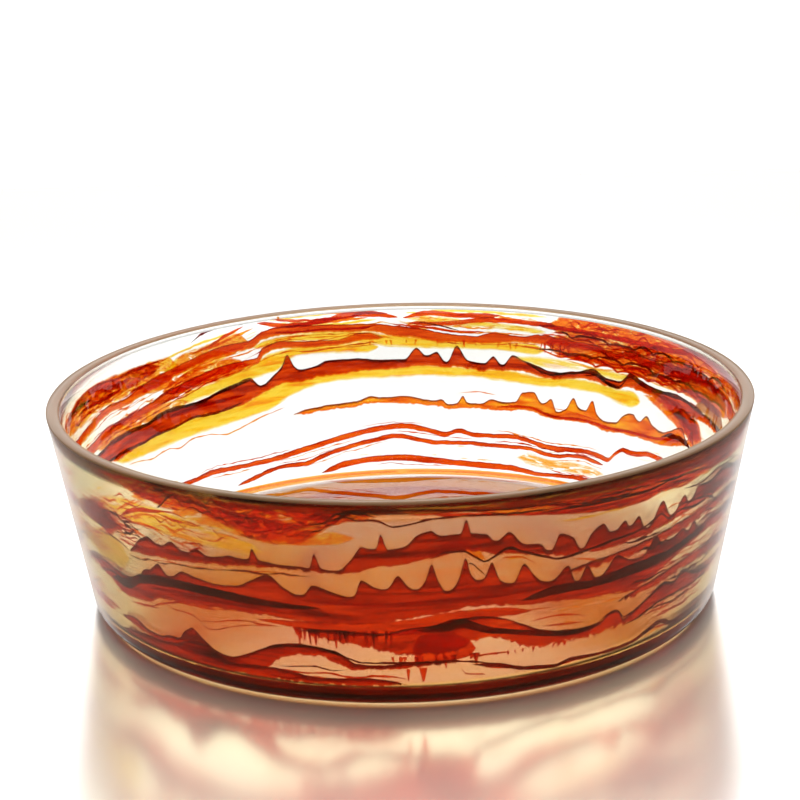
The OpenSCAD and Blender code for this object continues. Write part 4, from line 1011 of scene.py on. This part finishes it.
threads(p, red_thread, 0.9, 380, [[(94, 74.4), (99, 72.2), (105, 74.4), (112, 72.4), (119, 69.6),
    (124, 73), (128, 71), (131, 73.4), (134, 70), (140, 73), (144, 73.4), (147, 69.4), (150, 72.4)],
    [(120, 68.6), (128, 68.4), (134, 66), (141, 68.8), (147, 66.4), (152, 69), (158, 69.4)]])
drips(p, red_thread, 25, (144, 152), 72, (2, 6.5), count=9)
drips(p, orange_thread, 26, (156, 186), 70.5, (1, 4), count=14)
p.build("upper_red_trail")

p = Piece()
p.band(bright_red, SECOND_RED_TRAIL_PATH, seed=30, grow=0.7)
p.band(mottle_fire, [(210, 64.6, 66), (215, 61.6, 71), (221, 60, 71), (227, 60, 68), (232, 60, 66)],
    seed=31, **UNDER)
p.band(mottle_gold, [(226, 53, 58), (234, 52.6, 59), (242, 51.6, 57), (250, 51.4, 57), (257, 51, 55)],
    seed=32, **INNER)
p.band(yellow, [(184, 64, 72), (192, 65.4, 71), (200, 66, 72), (206, 60, 70), (212, 58, 66),
    (220, 55.5, 62), (229, 54, 59.6)], seed=33, **INNER)
filaments(p, 18, 34, (211, 258), lambda b: (max(50.5, 62 - (b - 211) * 0.24),
    max(57, 70 - (b - 211) * 0.3)), WARM, length=(4, 12), bend=1.8)
companions(p, 390, SECOND_RED_TRAIL_PATH, [red_thread, orange_thread], above=1, below=2, gap=1.1)
p.build("second_red_trail")

p = Piece()
p.band(deep_red, MAIN_DARK_TRAIL_PATH, seed=34, drips=1.3, grow=0.7)
threads(p, dark_thread, 1.4, 400, [[(213, 48), (215, 47.4), (220, 46), (225, 46.8), (230, 45.2),
    (236, 44.8), (240, 43.8), (245, 44.2), (252, 44.4), (262, 43.6)], [(209, 53), (211, 58), (214, 56.6),
    (218, 55), (222, 53.4), (226, 53), (232, 53), (238, 51), (245, 50.8), (252, 51)],
    [(106, 60.6), (112, 61.2), (118, 61), (124, 60.2), (128, 61.8), (130, 63.4), (132.6, 57), (136, 58),
    (139, 61), (144, 59.4), (149, 57), (154, 61)], [(132.4, 56.4), (135, 57), (138, 60.6), (141, 59)]],
    offset=0.0014, thick=0.0006)
threads(p, pale_thread, 1.4, 410, [[(213, 50), (220, 49.6), (228, 50), (236, 48.4), (244, 47.8),
    (250, 47.4)]], **OVER_THIN)
threads(p, red_thread, 1.6, 415, [[(212, 51.4), (218, 51), (226, 51), (232, 50.4)],
    [(112, 58), (118, 58.6), (125, 59.4)]], offset=0.0015, thick=0.0004)
threads(p, orange_thread, 0.6, 420, [[(204, 42.4), (208, 40.4), (213, 37.4), (218, 35), (222, 37),
    (226, 37.4), (230, 35.2), (234, 36.6), (238, 35.2), (242, 36.8), (246, 38)],
    [(94, 62.4), (100, 63), (106, 62)]])
p.band(haze, [(128, 61, 66), (134, 60, 65), (142, 61.5, 65.5), (150, 60, 66), (158, 62, 65)], seed=35,
    **INNER)
p.build("main_dark_trail")

p = Piece()
p.band(orange_thread, ORANGE_THREAD_RIGHT_PATH, seed=36)
threads(p, pale_thread, 1.1, 430, [[(106, 63.4), (114, 64.6), (122, 63.6), (130, 66), (138, 63.4),
    (146, 65.4)], [(112, 70.4), (120, 71.6), (128, 70), (134, 68.2), (140, 70.4)]])
threads(p, orange_thread, 0.6, 435, [[(108, 64.6), (117, 66), (126, 64.8), (133, 63.4)],
    [(104, 68.6), (112, 69.8), (120, 70.2)]])
p.build("orange_thread_right")

p = Piece()
p.band(amber, AMBER_TRAIL_PATH, seed=37, drips=1.2, grow=0.5)
threads(p, red_thread, 1.5, 440, [[(112, 43), (117, 41), (122, 38.8), (128, 38), (134, 37), (140, 38),
    (147, 37), (153, 40), (160, 38.6)]], **OVER_THIN)
threads(p, dark_thread, 2.6, 445, [[(108, 42.5), (112, 44), (116, 43.4), (119, 41)]], offset=0.0012,
    thick=0.0006)
threads(p, orange_thread, 0.5, 450, [[(160, 44.6), (164, 45.6), (168, 44.4)],
    [(136, 39.4), (142, 40.6), (148, 41.6)]])
p.build("amber_trail")

for node, path, slot, seed in (
        ("back_red_thread_upper", BACK_RED_THREAD_UPPER_PATH, "red_glass", 38),
        ("back_red_thread_middle", BACK_RED_THREAD_MIDDLE_PATH, "orange_glass", 39),
        ("back_red_thread_lower", BACK_RED_THREAD_LOWER_PATH, "red_glass", 40)):
    p = Piece()
    p.band(back_thread, path, seed=seed, grow=0.25)
    companions(p, seed * 12, path, [red_thread, orange_thread, pale_thread], above=1, below=1, gap=1.3,
        length=(10, 26), width=(0.2, 0.45))
    p.build(node)

# veils on the gather
for node, path, material, slot, grow in (
        ("yellow_veil", YELLOW_VEIL_PATH, yellow, "yellow_glass", 1.2),
        ("red_veil_right", RED_VEIL_RIGHT_PATH, mottle_fire, "red_glass", 0.0),
        ("brown_veil_right", BROWN_VEIL_RIGHT_PATH, brown, "brown_glass", 0.0),
        ("blush_veil", BLUSH_VEIL_PATH, blush, "blush_glass", 0.0),
        ("olive_veil_left", OLIVE_VEIL_LEFT_PATH, olive, "olive_glass", 1.2)):
    p = Piece()
    p.band(material, path, seed=41 + len(node), grow=grow, **VEIL)
    if node == "red_veil_right":
        p.band(red_veil, [(104, 47, 50), (108, 45, 56), (113, 50, 57.6), (118, 53.4, 58.6),
            (123, 56, 58.4)], seed=71)
        filaments(p, 19, 30, (103, 120), lambda b: (44 + 0.5 * (b - 103), 58.5), REDS, length=(3, 8),
            bend=3.0)
    p.build(node)

# maroon ring, taller at the front, with a shell inside the foot's rounding
FOOT_DEPTH = 0.0008      # of the shell under the glass, and its thickness
p = Piece()
p.band(maroon, [(b, 3.4, 7.6 + 2.0 * math.cos(math.radians(b))) for b in range(-180, 181, 6)], seed=60,
    thick=0.0012, offset=0.0008)
outer, inner = CORNER - FOOT_DEPTH, CORNER - 2 * FOOT_DEPTH
p.shell(maroon, arc(*foot, outer, -68, -18, 8) + arc(*foot, inner, -18, -68, 8))
p.build("base_maroon_ring")


# ---- the floor's amber veil and its swirls ----
def floor_glass(name, stops, seed):
    m, nt = node_tree(name)
    coord = add(nt, "ShaderNodeTexCoord").outputs["Object"]
    turn = add(nt, "ShaderNodeMapping", {"Vector": coord, "Rotation": (0, 0, math.radians(-8)),
        "Scale": (7.0, 30.0, 1.0), "Location": (seed, seed, 0)})
    swirl = add(nt, "ShaderNodeTexNoise", {"Vector": turn.outputs[0], "Scale": 1.0, "Detail": 6.0,
        "Roughness": 0.62, "Distortion": 1.6})
    tint = ramp(nt, swirl.outputs["Fac"], [(p, face(c)) for p, c in stops])
    clear = add(nt, "ShaderNodeBsdfTransparent", {"Color": tint})
    glow = add(nt, "ShaderNodeBsdfTranslucent", {"Color": tint})
    mix = add(nt, "ShaderNodeMixShader", {0: 0.2, 1: clear.outputs[0], 2: glow.outputs[0]})
    add(nt, "ShaderNodeOutputMaterial", {"Surface": mix.outputs[0]})
    return m


VEIL_LIFT, VEIL_DEPTH, VEIL_EDGE = 0.0001, 0.0004, 0.0004
veil_low = CASING_FLOOR + VEIL_LIFT
veil_top = veil_low + VEIL_DEPTH
veil_radius = seam(CASING_FLOOR) - VEIL_INSET
veil_profile = [
    (0, veil_low, 0), (veil_radius - VEIL_EDGE, veil_low, 0), (veil_radius, (veil_low + veil_top) / 2, 0),
    (veil_radius - VEIL_EDGE, veil_top, 0), (0, veil_top, 0)]
floor_amber = floor_glass("floor_veil_glass", [(0.30, (0.88, 0.28, 0.01)), (0.44, (0.94, 0.54, 0.06)),
                                               (0.68, (0.97, 0.72, 0.13))], 0.0)
floor_veil = lathe("floor_amber_veil_glass", veil_profile, [floor_amber])
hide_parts("floor_amber_veil")
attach(floor_veil, BODY)
swirl_glass = floor_glass("floor_swirl_glass", [(0.30, BRIGHT_RED), (0.50, (0.90, 0.42, 0.10)),
    (0.70, (0.96, 0.66, 0.30))], 3.0)
for name in ("floor_swirl_outer", "floor_swirl_middle", "floor_swirl_inner"):
    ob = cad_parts[name]
    ob.data.materials.clear()
    ob.data.materials.append(swirl_glass)


# ---- stage: white glossy table, soft light from behind and above ----
TABLE_GLOSS, TABLE_BLUR = 0.45, 0.20
TABLE_SIZE, TABLE_FORWARD, TABLE_DROP = 2.6, 0.35, 0.0002
table_glass, nt = node_tree("white_table")
matt = add(nt, "ShaderNodeBsdfDiffuse", {"Color": (0.95, 0.95, 0.95, 1)})
shine = add(nt, "ShaderNodeBsdfAnisotropic", {"Color": (1, 1, 1, 1), "Roughness": TABLE_BLUR})
both = add(nt, "ShaderNodeMixShader", {0: TABLE_GLOSS, 1: matt.outputs[0], 2: shine.outputs[0]})
add(nt, "ShaderNodeOutputMaterial", {"Surface": both.outputs[0]})
bpy.ops.mesh.primitive_plane_add(size=TABLE_SIZE, location=(0, -TABLE_FORWARD, -TABLE_DROP))
table = bpy.context.object
table.name = "table"
table.data.materials.append(table_glass)


def softbox(name, loc, aim, size, watts):
    light = bpy.data.lights.new(name, "AREA")
    light.shape = "RECTANGLE"
    light.size, light.size_y = size
    light.energy = watts
    ob = bpy.data.objects.new(name, light)
    ob.location = loc
    ob.rotation_euler = (Vector(aim) - Vector(loc)).to_track_quat("-Z", "Y").to_euler()
    bpy.context.scene.collection.objects.link(ob)


softbox("back_softbox", loc=(0, 1.3, 0.85), aim=(0, 0, 0.03), size=(2.2, 1.2), watts=13)
softbox("top_softbox", loc=(0, 0.1, 1.5), aim=(0, 0, 0), size=(1.4, 1.2), watts=5.5)

# a warm dim room in front of the bowl, a pale one behind it, and white where it is seen directly
ROOM_FRONT, ROOM_SIDES, ROOM_BACK = (0.15, 0.10, 0.06), (0.40, 0.36, 0.31), (0.88, 0.88, 0.87)
BACKDROP = (1.2, 1.2, 1.2)
world = bpy.data.worlds.new("studio")
bpy.context.scene.world = world
world.use_nodes = True
nt = world.node_tree
nt.nodes.clear()
view = add(nt, "ShaderNodeTexCoord").outputs["Generated"]
along = add(nt, "ShaderNodeSeparateXYZ", {"Vector": view}).outputs[1]
depth = math_node(nt, "MULTIPLY_ADD", along, 0.5, 0.5)
room = ramp(nt, depth, [(0.0, ROOM_FRONT), (0.5, ROOM_SIDES), (0.85, ROOM_BACK)])
seen = add(nt, "ShaderNodeLightPath").outputs["Is Camera Ray"]
sky = add(nt, "ShaderNodeBackground", {"Color": blend(nt, seen, room, BACKDROP), "Strength": 1.0})
add(nt, "ShaderNodeOutputWorld", {"Surface": sky.outputs[0]})

# ---- camera ----
ELEVATION, DISTANCE, FOCAL, SENSOR = 18.86, 0.926, 96.0, 36.0
PITCH_UP, ROLL = 2.2755, -1.508
cam_data = bpy.data.cameras.new("camera")
cam_data.lens = FOCAL
cam_data.sensor_width = SENSOR
cam_data.clip_start = 0.01
cam = bpy.data.objects.new("camera", cam_data)
bpy.context.scene.collection.objects.link(cam)
e = math.radians(ELEVATION)
cam.location = (0, -DISTANCE * math.cos(e), DISTANCE * math.sin(e) + HEIGHT / 2)
cam.rotation_euler = (Matrix.Rotation(math.radians(90 - ELEVATION + PITCH_UP), 3, "X")
                      @ Matrix.Rotation(math.radians(ROLL), 3, "Z")).to_euler()
bpy.context.scene.camera = cam

scene = bpy.context.scene
scene.view_settings.view_transform = "Standard"
scene.view_settings.look = "None"
scene.cycles.max_bounces = 16
scene.cycles.transmission_bounces = 12
scene.cycles.transparent_max_bounces = 64
scene.cycles.diffuse_bounces = 3
scene.cycles.glossy_bounces = 4
